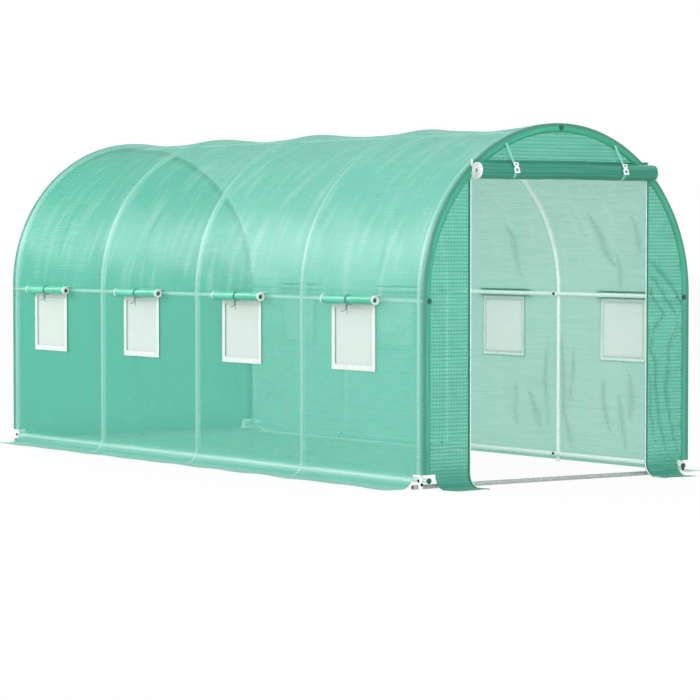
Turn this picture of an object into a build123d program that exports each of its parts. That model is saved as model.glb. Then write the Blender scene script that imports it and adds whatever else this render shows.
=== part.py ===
from build123d import *
from math import acos, atan2, cos, degrees, radians, sin, sqrt, tan
import os

os.makedirs("parts", exist_ok=True)

# Polytunnel greenhouse in millimetres: X across, Y along with the door end at -Y, Z up from the ground

# Frame of bolted steel tubes
bay_count = 4
bay_length = 1125
hoop_width = 1880
cover_top = 2000
tube_radius = 12.5
tube_wall = 1
arch_sides = 10
joint_neck = 2
waist_height = 1022
base_height = 49
cross_rail_overhang = 35
clearance = 0.3

# Diagonal braces, their ends pressed flat round the bolts
brace_radius = 9.5
brace_wall = 1
brace_flat_width = 28
brace_flat_thickness = 3
brace_flat_length = 45
brace_taper_length = 40
brace_hole_radius = 3.5
brace_hole_sides = 6
brace_plug_length = 60
brace_sides = 12

# Cover of reinforced film
film = 2
cover_overhang = 36
roof_dip_depth = 25
skirt_width = 180
skirt_bend = 80
corner_cut = 85
hem_width = 50

# Doorway, its zips, and the rolled-up door with straps and buckles
door_width = 1253
door_head = 1732
zip_width = 20
zip_thickness = 1.5
door_roll_radius = 47
door_roll_bore = 10
door_roll_length = 1265
door_roll_shift = 30
door_seam_width = 600
door_seam_height = 60
strap_width = 25
strap_thickness = 1.5
strap_spacing = 780
strap_top_run = 20
strap_back_run = 68
buckle_width = 34
buckle_height = 60
buckle_thickness = 9
buckle_slot = 5
buckle_angle = 15

# Windows with netting, and a rolled flap and a tie over each
window_pitch = 1140
left_window_drift = 62
window_width = 365
window_height = 325
window_sill = 653
window_border = 28
border_thickness = 1
border_lap = 5
flap_radius = 27
flap_bore = 15
flap_length = 500
flap_drop = 2
flap_seam = 2.5
flap_sides = 12
tie_width = 4
tie_gap = 14
knot_size = 11
knot_angle = -60
tail_radius = 2
tail_sides = 4

# Routes of a tie's two loose tails from under its knot: outwards, along the tunnel, and up
long_tail = [(0, 3, 0), (0, 3, -14), (3, 26, -30), (2, 52, -27)]
short_tail = [(0, -3, 0), (0, -3, -14), (4, -13, -38)]

# Places that follow from the sizes
arch_radius = hoop_width / 2
frame_end = bay_count * bay_length / 2
stations = [bay_length * number - frame_end for number in range(bay_count + 1)]
crown_height = cover_top - film - clearance - tube_radius
arch_spring = crown_height - arch_radius
rail_offset = arch_radius - 2 * tube_radius - clearance
ridge_height = crown_height - 2 * tube_radius - clearance
tube_bore = tube_radius - tube_wall
neck_radius = tube_bore - clearance
film_inner = arch_radius + tube_radius + clearance
film_outer = film_inner + film
panel_face = frame_end + cover_overhang
panel_front = panel_face + film
panel_side = film_inner - clearance
hem_front = panel_front + film
bend_height = skirt_bend + film
rail_end = panel_face - clearance


def side_plane(side, distance):
    """Upright plane across X that faces outwards on one side, its local x running along the tunnel."""
    return Plane(origin=(side * distance, 0, 0), x_dir=(0, side, 0), z_dir=(side, 0, 0))


def tube(base, length, radius, bore):
    """Straight tube along the normal of its base plane."""
    with BuildSketch(base) as section:
        Circle(radius)
        Circle(bore, mode=Mode.SUBTRACT)
    extrude(section.sketch, amount=length)


def sided_tube(base, length, radius, bore, sides):
    """Straight tube with a many-sided section, for the small tubes and rolls."""
    with BuildSketch(base) as section:
        RegularPolygon(radius, sides)
        RegularPolygon(bore, sides, mode=Mode.SUBTRACT)
    extrude(section.sketch, amount=length)


def bent_bar(station):
    """Many-sided bar carried round the arch of one hoop."""
    with BuildSketch(Plane.XY.offset(arch_spring)) as section:
        with Locations((arch_radius, station)):
            RegularPolygon(tube_radius, arch_sides)
    revolve(section.sketch, axis=Axis((0, station, arch_spring), (0, -1, 0)), revolution_arc=180)


def hung_section(plane, side, face, floor, thickness, top, reach, bend):
    """Section of a sheet that hangs down and turns out over the ground as a skirt."""
    outside = face + thickness
    with BuildSketch(plane) as section:
        with BuildLine():
            Polyline(
                (side * face, top),
                (side * face, floor),
                (side * (face + reach), floor),
                (side * (face + reach), floor + thickness),
                (side * outside, floor + thickness),
                (side * outside, top),
                close=True,
            )
        make_face()
        heel = section.vertices().sort_by_distance((side * face, floor))[0]
        fillet(heel, bend + thickness)
        throat = section.vertices().sort_by_distance((side * outside, floor + thickness))[0]
        fillet(throat, bend)
    return section.sketch


def arch_outline(radius, floor, mode=Mode.ADD):
    """Half-round outline of the tunnel's end, upright below the springing of the arch."""
    with Locations((0, arch_spring)):
        Circle(radius, mode=mode)
    with Locations((0, floor)):
        Rectangle(2 * radius, arch_spring - floor, align=(Align.CENTER, Align.MIN), mode=mode)


def roof_band(sag):
    """Band of roof film across the tunnel, its crown let down by the sag."""
    with BuildLine() as band:
        inside = ThreePointArc(
            (-film_inner, arch_spring), (0, arch_spring + film_inner - sag), (film_inner, arch_spring)
        )
        outside = ThreePointArc(
            (film_outer, arch_spring), (0, arch_spring + film_outer - sag), (-film_outer, arch_spring)
        )
        Line(inside @ 1, outside @ 0)
        Line(outside @ 1, inside @ 0)
    make_face(band.edges())


def window_places(side):
    """Middles of one side's windows along the tunnel."""
    drift = left_window_drift if side < 0 else 0
    return [drift + window_pitch * (number - (bay_count - 1) / 2) for number in range(bay_count)]


def hanging_tail(start, side, route):
    """Plain length of thin cord through the points of its route, rounded as far as each corner allows."""
    points = [start + Vector(side * out, along, up) for out, along, up in route]
    runs = [after - before for before, after in zip(points, points[1:])]
    radii = []
    for before, after in zip(runs, runs[1:]):
        turn = radians(before.get_angle(after))
        radii.append(0.45 * min(before.length, after.length) / tan(turn / 2))
    with BuildLine() as line:
        FilletPolyline(*points, radius=radii)
    with BuildSketch(Plane(origin=points[0], z_dir=runs[0])) as section:
        RegularPolygon(tail_radius, tail_sides)
    sweep(section.sketch, path=line.wire())
    return line.wire().length, radii


# Hoops: two posts each, and an arch whose narrow necks plug into them
for number, station in enumerate(stations, start=1):
    with BuildPart() as posts:
        with BuildSketch(Plane.XY):
            with Locations((-arch_radius, station), (arch_radius, station)):
                Circle(tube_radius)
        extrude(amount=arch_spring - joint_neck)
    posts.part.label = f"hoop_{number}_posts"
    export_step(posts.part, f"parts/hoop_{number}_posts.step")

    with BuildPart() as arch:
        bent_bar(station)
        with BuildSketch(Plane.XY.offset(arch_spring - joint_neck)):
            with Locations((-arch_radius, station), (arch_radius, station)):
                RegularPolygon(neck_radius, arch_sides)
        extrude(amount=joint_neck)
    arch.part.label = f"hoop_{number}_arch"
    export_step(arch.part, f"parts/hoop_{number}_arch.step")

# Long rails bolted inside the hoops, open at both ends
rail_places = {
    "ridge_tube": (0, ridge_height),
    "waist_rail_left": (-rail_offset, waist_height),
    "waist_rail_right": (rail_offset, waist_height),
    "base_rail_left": (-rail_offset, base_height),
    "base_rail_right": (rail_offset, base_height),
}
for name, (across, height) in rail_places.items():
    with BuildPart() as rail:
        base = Plane(origin=(across, rail_end, height), x_dir=(1, 0, 0), z_dir=(0, -1, 0))
        tube(base, 2 * rail_end, tube_radius, tube_bore)
    rail.part.label = name
    export_step(rail.part, f"parts/{name}.step")

# Cross rails on the ground, just inside the end hoops
cross_length = hoop_width + 2 * cross_rail_overhang
cross_place = frame_end - 2 * tube_radius - clearance
for name, end in (("base_rail_front", -1), ("base_rail_back", 1)):
    with BuildPart() as cross_rail:
        base = Plane(origin=(-cross_length / 2, end * cross_place, tube_radius), x_dir=(0, 1, 0), z_dir=(1, 0, 0))
        tube(base, cross_length, tube_radius, tube_bore)
    cross_rail.part.label = name
    export_step(cross_rail.part, f"parts/{name}.step")

# Braces of two tubes, one plugged into the other, each pressed flat and drilled at its outer end
brace_middle = rail_offset - tube_radius - clearance - brace_flat_thickness / 2
brace_bore = brace_radius - brace_wall
brace_neck = brace_bore - clearance
round_start = brace_flat_length + brace_taper_length


def brace_end(bolt, along):
    """Flat drilled tab round a bolt, then the swell into a round tube."""
    tab = Plane(origin=bolt - Vector(brace_flat_thickness / 2, 0, 0), x_dir=along, z_dir=(1, 0, 0))
    with BuildSketch(tab) as flat:
        RegularPolygon(brace_flat_width / 2, brace_sides)
        Rectangle(brace_flat_length, brace_flat_width, align=(Align.MIN, Align.CENTER))
        RegularPolygon(brace_hole_radius, brace_hole_sides, mode=Mode.SUBTRACT)
    extrude(flat.sketch, amount=brace_flat_thickness)
    swell = Plane(origin=bolt + along * brace_flat_length, x_dir=(1, 0, 0), z_dir=along)
    with BuildSketch(swell) as pressed:
        Rectangle(brace_flat_thickness, brace_flat_width)
    with BuildSketch(swell.offset(brace_taper_length)) as full:
        Rectangle(brace_radius * sqrt(2), brace_radius * sqrt(2))
    loft([pressed.sketch, full.sketch], ruled=True)


for name, side, low_station, high_station in (
    ("brace_left_front", -1, stations[1], stations[0]),
    ("brace_right_back", 1, stations[-1], stations[-2]),
):
    low = Vector(side * brace_middle, low_station, base_height)
    high = Vector(side * brace_middle, high_station, waist_height)
    rise = (high - low).normalized()
    half_tube = (high - low).length / 2 - round_start
    with BuildPart() as lower:
        brace_end(low, rise)
        foot = Plane(origin=low + rise * round_start, x_dir=(1, 0, 0), z_dir=rise)
        sided_tube(foot, half_tube - clearance, brace_radius, brace_bore, brace_sides)
    with BuildPart() as upper:
        brace_end(high, rise * -1)
        head = Plane(origin=high - rise * round_start, x_dir=(1, 0, 0), z_dir=rise * -1)
        sided_tube(head, half_tube, brace_radius, brace_neck - brace_wall, brace_sides)
        sided_tube(head.offset(half_tube), brace_plug_length, brace_neck, brace_neck - brace_wall, brace_sides)
    brace = Compound(label=name, children=[lower.part.solid(), upper.part.solid()])
    export_step(brace, f"parts/{name}.step")

# Roof film over each bay, drawn tight over the hoops and sagging between them
for bay in range(bay_count):
    front_station = stations[bay]
    back_station = stations[bay + 1]
    with BuildPart() as roof:
        with BuildSketch(Plane.XZ.offset(-back_station)):
            roof_band(0)
        with BuildSketch(Plane.XZ.offset(-(back_station + front_station) / 2)):
            roof_band(roof_dip_depth)
        with BuildSketch(Plane.XZ.offset(-front_station)):
            roof_band(0)
        loft()
        if bay == 0:
            with BuildSketch(Plane.XZ.offset(-front_station)):
                roof_band(0)
            extrude(amount=panel_front - frame_end)
        if bay == bay_count - 1:
            with BuildSketch(Plane.XZ.offset(-back_station)):
                roof_band(0)
            extrude(amount=frame_end - panel_front)
    roof.part.label = f"roof_cover_{bay + 1}"
    export_step(roof.part, f"parts/roof_cover_{bay + 1}.step")

# Side walls with their windows and skirts, cut away at the corners where the frame's feet stand bare
for name, side in (("left", -1), ("right", 1)):
    with BuildPart() as wall:
        far_end = Plane.XZ.offset(-panel_front)
        sheet = hung_section(far_end, side, film_inner, 0, film, arch_spring, skirt_width, skirt_bend)
        extrude(sheet, amount=2 * panel_front)
        with BuildSketch(side_plane(side, film_inner)):
            with Locations(*[(side * place, window_sill) for place in window_places(side)]):
                Rectangle(window_width, window_height, align=(Align.CENTER, Align.MIN))
        extrude(amount=film, mode=Mode.SUBTRACT)
        with Locations((side * film_inner, -panel_front), (side * film_inner, panel_front)):
            Box(2 * skirt_width + 2 * film, 2 * corner_cut, 2 * bend_height, mode=Mode.SUBTRACT)
    wall.part.label = f"wall_cover_{name}"
    export_step(wall.part, f"parts/wall_cover_{name}.step")

# End panels: one each side of the doorway, one over it, and a closed one at the back
for name, side in (("left", -1), ("right", 1)):
    with BuildPart() as panel:
        low_edge = Plane.YZ.offset(min(side * door_width / 2, side * panel_side))
        sheet = hung_section(low_edge, -1, panel_face, 0, film, door_head, skirt_width, skirt_bend)
        extrude(sheet, amount=panel_side - door_width / 2)
        with BuildSketch(Plane.XZ):
            arch_outline(panel_side, 0)
        extrude(amount=2 * panel_face, both=True, mode=Mode.INTERSECT)
        with Locations((side * panel_side, -panel_face)):
            Box(2 * corner_cut, 2 * skirt_width + 2 * film, 2 * bend_height, mode=Mode.SUBTRACT)
    panel.part.label = f"front_panel_{name}"
    export_step(panel.part, f"parts/front_panel_{name}.step")

with BuildPart() as lunette:
    with BuildSketch(Plane.XZ.offset(panel_face)):
        with Locations((0, arch_spring)):
            Circle(panel_side)
        with Locations((0, door_head)):
            Rectangle(hoop_width, hoop_width, align=(Align.CENTER, Align.MIN), mode=Mode.INTERSECT)
    extrude(amount=film)
lunette.part.label = "front_panel_top"
export_step(lunette.part, "parts/front_panel_top.step")

with BuildPart() as back_panel:
    left_edge = Plane.YZ.offset(-panel_side)
    sheet = hung_section(left_edge, 1, panel_face, 0, film, cover_top, skirt_width, skirt_bend)
    extrude(sheet, amount=2 * panel_side)
    with BuildSketch(Plane.XZ):
        arch_outline(panel_side, 0)
    extrude(amount=2 * panel_face, both=True, mode=Mode.INTERSECT)
    with Locations((-panel_side, panel_face), (panel_side, panel_face)):
        Box(2 * corner_cut, 2 * skirt_width + 2 * film, 2 * bend_height, mode=Mode.SUBTRACT)
back_panel.part.label = "back_panel"
export_step(back_panel.part, "parts/back_panel.step")

# Doubled hems round both ends of the cover
for name, plane in (("front", Plane.XZ.offset(panel_front)), ("back", Plane.XZ.offset(-hem_front))):
    with BuildPart() as hem:
        with BuildSketch(plane):
            arch_outline(film_outer, bend_height)
            arch_outline(film_outer - hem_width, bend_height, Mode.SUBTRACT)
        extrude(amount=film)
    hem.part.label = f"hem_{name}"
    export_step(hem.part, f"parts/hem_{name}.step")

# Zips down both edges of the doorway, from the hem to the panels' edge on the ground
zip_top = arch_spring + sqrt((film_outer - hem_width) ** 2 - (door_width / 2 + zip_width) ** 2) - clearance
for name, side in (("left", -1), ("right", 1)):
    with BuildPart() as door_zip:
        low_edge = Plane.YZ.offset(min(side * door_width / 2, side * (door_width / 2 + zip_width)))
        strip = hung_section(
            low_edge,
            -1,
            panel_front + clearance,
            film + clearance,
            zip_thickness,
            zip_top,
            skirt_width - film - clearance,
            skirt_bend - clearance - zip_thickness,
        )
        extrude(strip, amount=zip_width)
    door_zip.part.label = f"door_zip_{name}"
    export_step(door_zip.part, f"parts/door_zip_{name}.step")

# Door rolled up in front of the hem, hanging from its seam on the panel over the doorway
roll_place = hem_front + clearance + door_roll_radius
roll_start = door_roll_shift - door_roll_length / 2
with BuildPart() as door_roll:
    roll_base = Plane(origin=(roll_start, -roll_place, door_head), x_dir=(0, 1, 0), z_dir=(1, 0, 0))
    tube(roll_base, door_roll_length, door_roll_radius, door_roll_bore)
    with Locations((0, -panel_front - clearance, door_head)):
        Box(
            door_seam_width,
            2 * film,
            door_seam_height,
            align=(Align.CENTER, Align.MAX, Align.MIN),
        )
door_roll.part.label = "door_roll"
export_step(door_roll.part, "parts/door_roll.step")

# Straps from the hem down over the roll, round it and up behind, with a buckle on each
strap_turn = door_roll_radius + clearance + strap_thickness / 2
strap_lay = hem_front + clearance + strap_thickness / 2
strap_outer = strap_spacing / 2 + strap_width / 2
strap_top = arch_spring + sqrt(film_outer**2 - strap_outer**2) - film
strap_kink = Vector(-strap_lay, strap_top - strap_top_run)
roll_middle = Vector(-roll_place, door_head)
to_kink = strap_kink - roll_middle
lean = degrees(atan2(to_kink.Y, to_kink.X) + acos(strap_turn / to_kink.length))
for name, side in (("left", -1), ("right", 1)):
    with BuildPart() as strap:
        with BuildSketch(Plane.YZ.offset(side * strap_spacing / 2 - strap_width / 2)):
            with BuildLine():
                around = CenterArc(roll_middle, strap_turn, lean, 360 - lean)
                Polyline((-strap_lay, strap_top), strap_kink, around @ 0)
                Line(around @ 1, around @ 1 + Vector(0, strap_back_run))
            trace(line_width=strap_thickness)
        extrude(amount=strap_width)
    strap.part.label = f"door_strap_{name}"
    export_step(strap.part, f"parts/door_strap_{name}.step")

    with BuildPart() as buckle:
        tilt = radians(180 - buckle_angle)
        outwards = Vector(0, cos(tilt), sin(tilt))
        seat = strap_turn + strap_thickness / 2 + clearance
        middle = Vector(side * strap_spacing / 2, -roll_place, door_head) + outwards * seat
        with BuildSketch(Plane(origin=middle, x_dir=(1, 0, 0), z_dir=outwards)):
            Rectangle(buckle_width, buckle_height)
            with Locations((0, buckle_height / 4), (0, -buckle_height / 4)):
                Rectangle(strap_width, buckle_slot, mode=Mode.SUBTRACT)
        extrude(amount=buckle_thickness)
    buckle.part.label = f"door_buckle_{name}"
    export_step(buckle.part, f"parts/door_buckle_{name}.step")

# Netting in each window, with its sewn border, and the flap rolled up over it with its tie
flap_height = waist_height - flap_drop
flap_place = film_outer + border_thickness + 2 * clearance + tie_width + flap_radius
seam_run = flap_place - film_outer - clearance
seam_piece = (flap_length - tie_gap) / 2
tie_bore = flap_radius + clearance
tie_outer = tie_bore + tie_width
knot_reach = tie_outer + knot_size / 2
knot_drop = radians(knot_angle)
knot_place = flap_place + knot_reach * cos(knot_drop)
knot_height = flap_height + knot_reach * sin(knot_drop)
for name, side in (("left", -1), ("right", 1)):
    with BuildPart() as screens:
        with BuildSketch(side_plane(side, film_inner)):
            with Locations(*[(side * place, window_sill + window_height / 2) for place in window_places(side)]):
                Rectangle(window_width - 2 * clearance, window_height - 2 * clearance)
        extrude(amount=film)
        with BuildSketch(side_plane(side, film_outer)):
            with Locations(*[(side * place, window_sill + window_height / 2) for place in window_places(side)]):
                Rectangle(window_width + 2 * window_border, window_height + 2 * window_border)
                Rectangle(window_width - 2 * border_lap, window_height - 2 * border_lap, mode=Mode.SUBTRACT)
        extrude(amount=border_thickness)
    screens.part.label = f"window_screens_{name}"
    export_step(screens.part, f"parts/window_screens_{name}.step")

    with BuildPart() as flaps:
        for place in window_places(side):
            roll_end = place + flap_length / 2
            base = Plane(origin=(side * flap_place, roll_end, flap_height), x_dir=(1, 0, 0), z_dir=(0, -1, 0))
            sided_tube(base, flap_length, flap_radius, flap_bore, flap_sides)
            for half in (-1, 1):
                seam_middle = place + half * (tie_gap + seam_piece) / 2
                with Locations((side * (flap_place - seam_run / 2), seam_middle, flap_height + flap_radius)):
                    Box(seam_run, seam_piece, flap_seam, align=(Align.CENTER, Align.CENTER, Align.MAX))
    flaps.part.label = f"window_flaps_{name}"
    export_step(flaps.part, f"parts/window_flaps_{name}.step")

    with BuildPart() as ties:
        for place in window_places(side):
            with BuildSketch(Plane.XZ.offset(-place - tie_width / 2)):
                with Locations((side * flap_place, flap_height)):
                    RegularPolygon(tie_outer, flap_sides)
                    RegularPolygon(tie_bore, flap_sides, mode=Mode.SUBTRACT)
            extrude(amount=tie_width)
            with Locations((side * knot_place, place, knot_height)):
                Box(knot_size, knot_size, knot_size)
    ties.part.label = f"window_ties_{name}"
    export_step(ties.part, f"parts/window_ties_{name}.step")

    with BuildPart() as tails:
        for place in window_places(side):
            under_knot = Vector(side * knot_place, place, knot_height - knot_size / 2)
            for route in (long_tail, short_tail):
                length, radii = hanging_tail(under_knot, side, route)
                print(f"tie tail of {length:.0f} mm, radii", [round(radius) for radius in radii])
    tails.part.label = f"tie_tails_{name}"
    export_step(tails.part, f"parts/tie_tails_{name}.step")
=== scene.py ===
# %% [markdown]
# # A polytunnel greenhouse
# A row of steel hoops carries a cover of green woven film. The film lets light and outlines through,
# so the looks depend on four things: how much it lets through, the tubes right behind it, the grid of
# threads in it, and the soft folds where it isn't pulled tight. This lesson builds the tunnel piece by
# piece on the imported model, which gives every place in metres: X across, Y along, and Z up.

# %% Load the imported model
from math import acos, atan2, cos, pi, radians, sin, sqrt

import bpy
import numpy as np
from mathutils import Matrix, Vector


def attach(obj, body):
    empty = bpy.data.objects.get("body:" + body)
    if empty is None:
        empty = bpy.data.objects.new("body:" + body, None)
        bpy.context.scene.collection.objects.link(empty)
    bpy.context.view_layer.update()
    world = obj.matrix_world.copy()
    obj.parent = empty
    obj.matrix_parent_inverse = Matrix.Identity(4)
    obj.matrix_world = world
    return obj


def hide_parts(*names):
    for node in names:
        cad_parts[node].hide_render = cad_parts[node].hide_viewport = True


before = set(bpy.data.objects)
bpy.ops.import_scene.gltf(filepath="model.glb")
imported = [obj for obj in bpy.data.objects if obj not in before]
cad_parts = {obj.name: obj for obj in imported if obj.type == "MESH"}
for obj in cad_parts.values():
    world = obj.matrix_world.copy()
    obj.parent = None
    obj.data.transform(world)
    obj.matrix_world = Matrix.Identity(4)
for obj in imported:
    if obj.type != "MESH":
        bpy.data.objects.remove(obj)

scene = bpy.context.scene
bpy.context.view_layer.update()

# %% [markdown]
# The sizes below repeat the part's own, in metres. Each piece replaces CAD solids, so it has to lie
# where they lie, and a size that is named once can't drift between two pieces.

# %% Sizes of the frame and the cover
frame_end = 2.25
bay = 1.125
hoop_places = [-frame_end + bay * number for number in range(5)]
tube = 0.0125
tube_bore = 0.0115
hoop_radius = 0.94
spring = 1.0452
rail_side = 0.9147
waist = 1.022
base = 0.049
ridge = 1.9599
cross_place = 2.2247
cover = 0.9548
film = 0.0012
cover_end = 2.288
panel_side = 0.9525
skirt_end = 1.1328
panel_skirt_end = 2.466
bend = 0.08
lift = 0.002
corner_cut = 0.085
door_half = 0.6265
door_head = 1.732
side_names = {-1: "left", 1: "right"}
print("cover:", 2 * cover, "wide,", 2 * cover_end, "long,", spring + cover, "high")

# %% [markdown]
# Each side has four windows, one in the middle of each bay. The left ones stand 62 mm nearer to the
# back. The hole in the wall is a little larger than the net, and its edge hides behind the sewn border.

# %% Sizes of the windows
window_half = 0.1825
window_half_tall = 0.1625
window_sill = 0.653
window_middle_height = window_sill + window_half_tall
window_bottom = spring - window_sill
window_top = window_bottom - 2 * window_half_tall
window_pitch = 1.14
left_shift = 0.062
hidden = 0.02
border = 0.028
lap = 0.005
window_middles = {
    side: [(left_shift if side < 0 else 0) + window_pitch * (number - 1.5) for number in range(4)]
    for side in side_names
}
print("windows:", 2 * window_half, "wide,", 2 * window_half_tall, "high")

# %% [markdown]
# The picture was taken a little above waist height, from far off, with a long lens. The camera's place
# was worked out from the feet and arches of the hoops.

# %% Camera
view_turn = radians(35.194)
view_drop = radians(-2.2707)
view_line = Vector((sin(view_turn) * cos(view_drop), cos(view_turn) * cos(view_drop), sin(view_drop)))
camera_data = bpy.data.cameras.new("camera")
camera_data.sensor_width = 36
camera_data.lens = 149.4
camera_data.clip_end = 200
camera = bpy.data.objects.new("camera", camera_data)
camera.location = (-10.2916, -14.8484, 1.3798)
camera.rotation_euler = view_line.to_track_quat("-Z", "Y").to_euler()
scene.collection.objects.link(camera)
scene.camera = camera
print("camera looks along", [round(value, 3) for value in view_line])

# %% [markdown]
# One function adds a node to any tree, sets what it is given, and links what feeds it. Colours are
# written as they look on a screen, in hex, and turned to the linear values that shaders need.

# %% Helpers for materials
def add(tree, kind, feeds=None, **settings):
    """Adds a node with its settings. Each named input gets a value, a socket, or a node's first output."""
    node = tree.nodes.new(kind)
    for name, value in settings.items():
        setattr(node, name, value)
    for name, value in (feeds or {}).items():
        if isinstance(value, bpy.types.Node):
            value = value.outputs[0]
        if isinstance(value, bpy.types.NodeSocket):
            tree.links.new(value, node.inputs[name])
        else:
            node.inputs[name].default_value = value
    return node


def linear(code):
    """Linear colour of an sRGB hex code."""
    shares = [int(code[place : place + 2], 16) / 255 for place in (1, 3, 5)]
    return (*[s / 12.92 if s <= 0.04045 else ((s + 0.055) / 1.055) ** 2.4 for s in shares], 1)


def new_finish(name):
    """Empty material and its node tree."""
    material = bpy.data.materials.new(name)
    material.use_nodes = True
    material.node_tree.nodes.clear()
    return material, material.node_tree


def layered(tree, colour, layers):
    """Colour with others laid over it, each given as (where from 0 to 1, how strongly, colour)."""
    for mask, strength, over in layers:
        share = add(tree, "ShaderNodeMath", {0: mask, 1: strength}, operation="MULTIPLY")
        colour = add(tree, "ShaderNodeMix", {0: share, 6: colour, 7: over}, data_type="RGBA").outputs[2]
    return colour


def thinned(tree, share, masks):
    """Share cut down by masks, each given as (where from 0 to 1, what it leaves of the share)."""
    for mask, left in masks:
        factor = add(tree, "ShaderNodeMapRange", {"Value": mask, "To Min": 1, "To Max": left})
        share = add(tree, "ShaderNodeMath", {0: share, 1: factor}, operation="MULTIPLY")
    return share


def streaks(tree, place, long, wide, detail=2, turn=0.0):
    """Noise in streaks of a length and a width in metres, turned by an angle."""
    feeds = {"Vector": place, "Rotation": (0, 0, turn), "Scale": (long, wide, 1)}
    turned = add(tree, "ShaderNodeMapping", feeds, vector_type="TEXTURE")
    return add(tree, "ShaderNodeTexNoise", {"Vector": turned, "Scale": 1, "Detail": detail})


# %% [markdown]
# Three patterns repeat on cloth. A grid of threads is two rows of lines. A tube right behind the film
# is painted on it as a pale line, a painted highlight with painted shade along its flanks, and so is
# each rail. All of them are worked out from the cloth's UV map, which is in metres: U runs along the
# tunnel, and V runs up from the level at which the arches start.

# %% Threads, and lines over the tubes
def thread_mask(tree, cloth, pitch, widths):
    """1 on the threads of a square grid, 0 between them, for each of its two ways."""
    stepped = add(tree, "ShaderNodeVectorMath", {0: cloth, 1: (1 / pitch,) * 3}, operation="MULTIPLY")
    ways = add(tree, "ShaderNodeSeparateXYZ", {0: stepped}).outputs
    masks = []
    for way, width in zip(ways, widths):
        part = add(tree, "ShaderNodeMath", {0: way}, operation="FRACT")
        middle = add(tree, "ShaderNodeMath", {0: part, 1: 0.5}, operation="SUBTRACT")
        away = add(tree, "ShaderNodeMath", {0: middle}, operation="ABSOLUTE")
        feeds = {"Value": away, "From Min": 0.5 - width, "From Max": 0.5 - width / 2}
        masks.append(add(tree, "ShaderNodeMapRange", feeds))
    return masks


def near_line(tree, place, line, core, edge):
    """1 along a line at one value of a coordinate, fading out between two distances from it."""
    shift = add(tree, "ShaderNodeMath", {0: place, 1: line}, operation="SUBTRACT")
    away = add(tree, "ShaderNodeMath", {0: shift}, operation="ABSOLUTE")
    return add(tree, "ShaderNodeMapRange", {"Value": away, "From Min": edge, "From Max": core})


def tube_mask(tree, ways, core, edge):
    """1 over the hoops and rails, where the film gets its painted tube highlight and shade, by place in
    metres.
    """
    shift = add(tree, "ShaderNodeMath", {0: ways[0], 1: frame_end + bay / 2}, operation="ADD")
    counted = add(tree, "ShaderNodeMath", {0: shift, 1: bay}, operation="DIVIDE")
    part = add(tree, "ShaderNodeMath", {0: counted}, operation="FRACT")
    # The painted band is wider over a hoop than over a rail, as the film lies on a hoop over a wider band.
    hoop_band = 1.6 / bay
    mask = near_line(tree, part, 0.5, core * hoop_band, edge * hoop_band)
    for level in (waist - spring, base - spring, cover * pi / 2):
        rail = near_line(tree, ways[1], level, core, edge)
        mask = add(tree, "ShaderNodeMath", {0: mask, 1: rail}, operation="MAXIMUM")
    return mask


# %% [markdown]
# The cover is woven from flat polyethylene tape and coated on both faces. Its strong threads are drawn
# 12 mm apart, and 20 mm apart at the ends, coarser than the real ones, to show as a grid of fine lines.
# The film is green outside. Its inner face is painted paler, painted light that stands for the glow of
# light through it. The film glows when light comes from behind, and it shows a dim picture of what is
# close to it. One shader can't do all of that, so three are mixed: a glossy plastic for the face,
# Translucent for the glow, and Transparent, tinted, for what shows through. Its colour is laid on in
# layers: mottle, flat tapes, threads, and painted shade in the folds, whose depth each piece gives as
# the attribute "Fold". At a foot less light comes from behind, so that part is painted deeper, as shade.

# %% Coated woven film
thread_pitch = 0.012
end_thread_pitch = 0.02


def paint_film_light(tree, cloth, colour, open_share, height, tones, deep):
    """Roof and walls over their tubes: painted highlights on creases round the arch, and on each tube a pale
    painted highlight with painted shade beside it.
    """
    pale, crease_highlight = [linear(tone) for tone in tones]
    ways = add(tree, "ShaderNodeSeparateXYZ", {0: cloth}).outputs
    # Painted highlight: pale streaks along the roof's creases, where they catch the light.
    noise = streaks(tree, cloth, 0.4, 0.07, 1.5, radians(84))
    feeds = {"Value": noise, "From Min": 0.5, "From Max": 0.78, "To Max": 0.45}
    crease_highlight_share = add(tree, "ShaderNodeMapRange", feeds)
    on_roof = add(tree, "ShaderNodeMapRange", {"Value": ways[1], "From Max": 0.5})
    creases = add(tree, "ShaderNodeMath", {0: crease_highlight_share, 1: on_roof}, operation="MULTIPLY")
    to_crown = near_line(tree, ways[1], cover * pi / 2, 0.1, 1.25)
    tube_highlight_strength = add(tree, "ShaderNodeMapRange", {"Value": to_crown, "To Min": 0.62, "To Max": 0.25})
    # Painted shade along the flanks of each tube, and a painted highlight over it that fades towards the
    # crown.
    flank_shade = tube_mask(tree, ways, tube, 0.019)
    tubes = tube_mask(tree, ways, 0.006, tube)
    colour = layered(tree, colour, [(creases, 1, crease_highlight), (flank_shade, 0.3, deep), (tubes, tube_highlight_strength, pale)])
    height = add(tree, "ShaderNodeMath", {0: creases, 1: 4, 2: height}, operation="MULTIPLY_ADD")
    return colour, thinned(tree, open_share, [(tubes, 0.75)]), height


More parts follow.
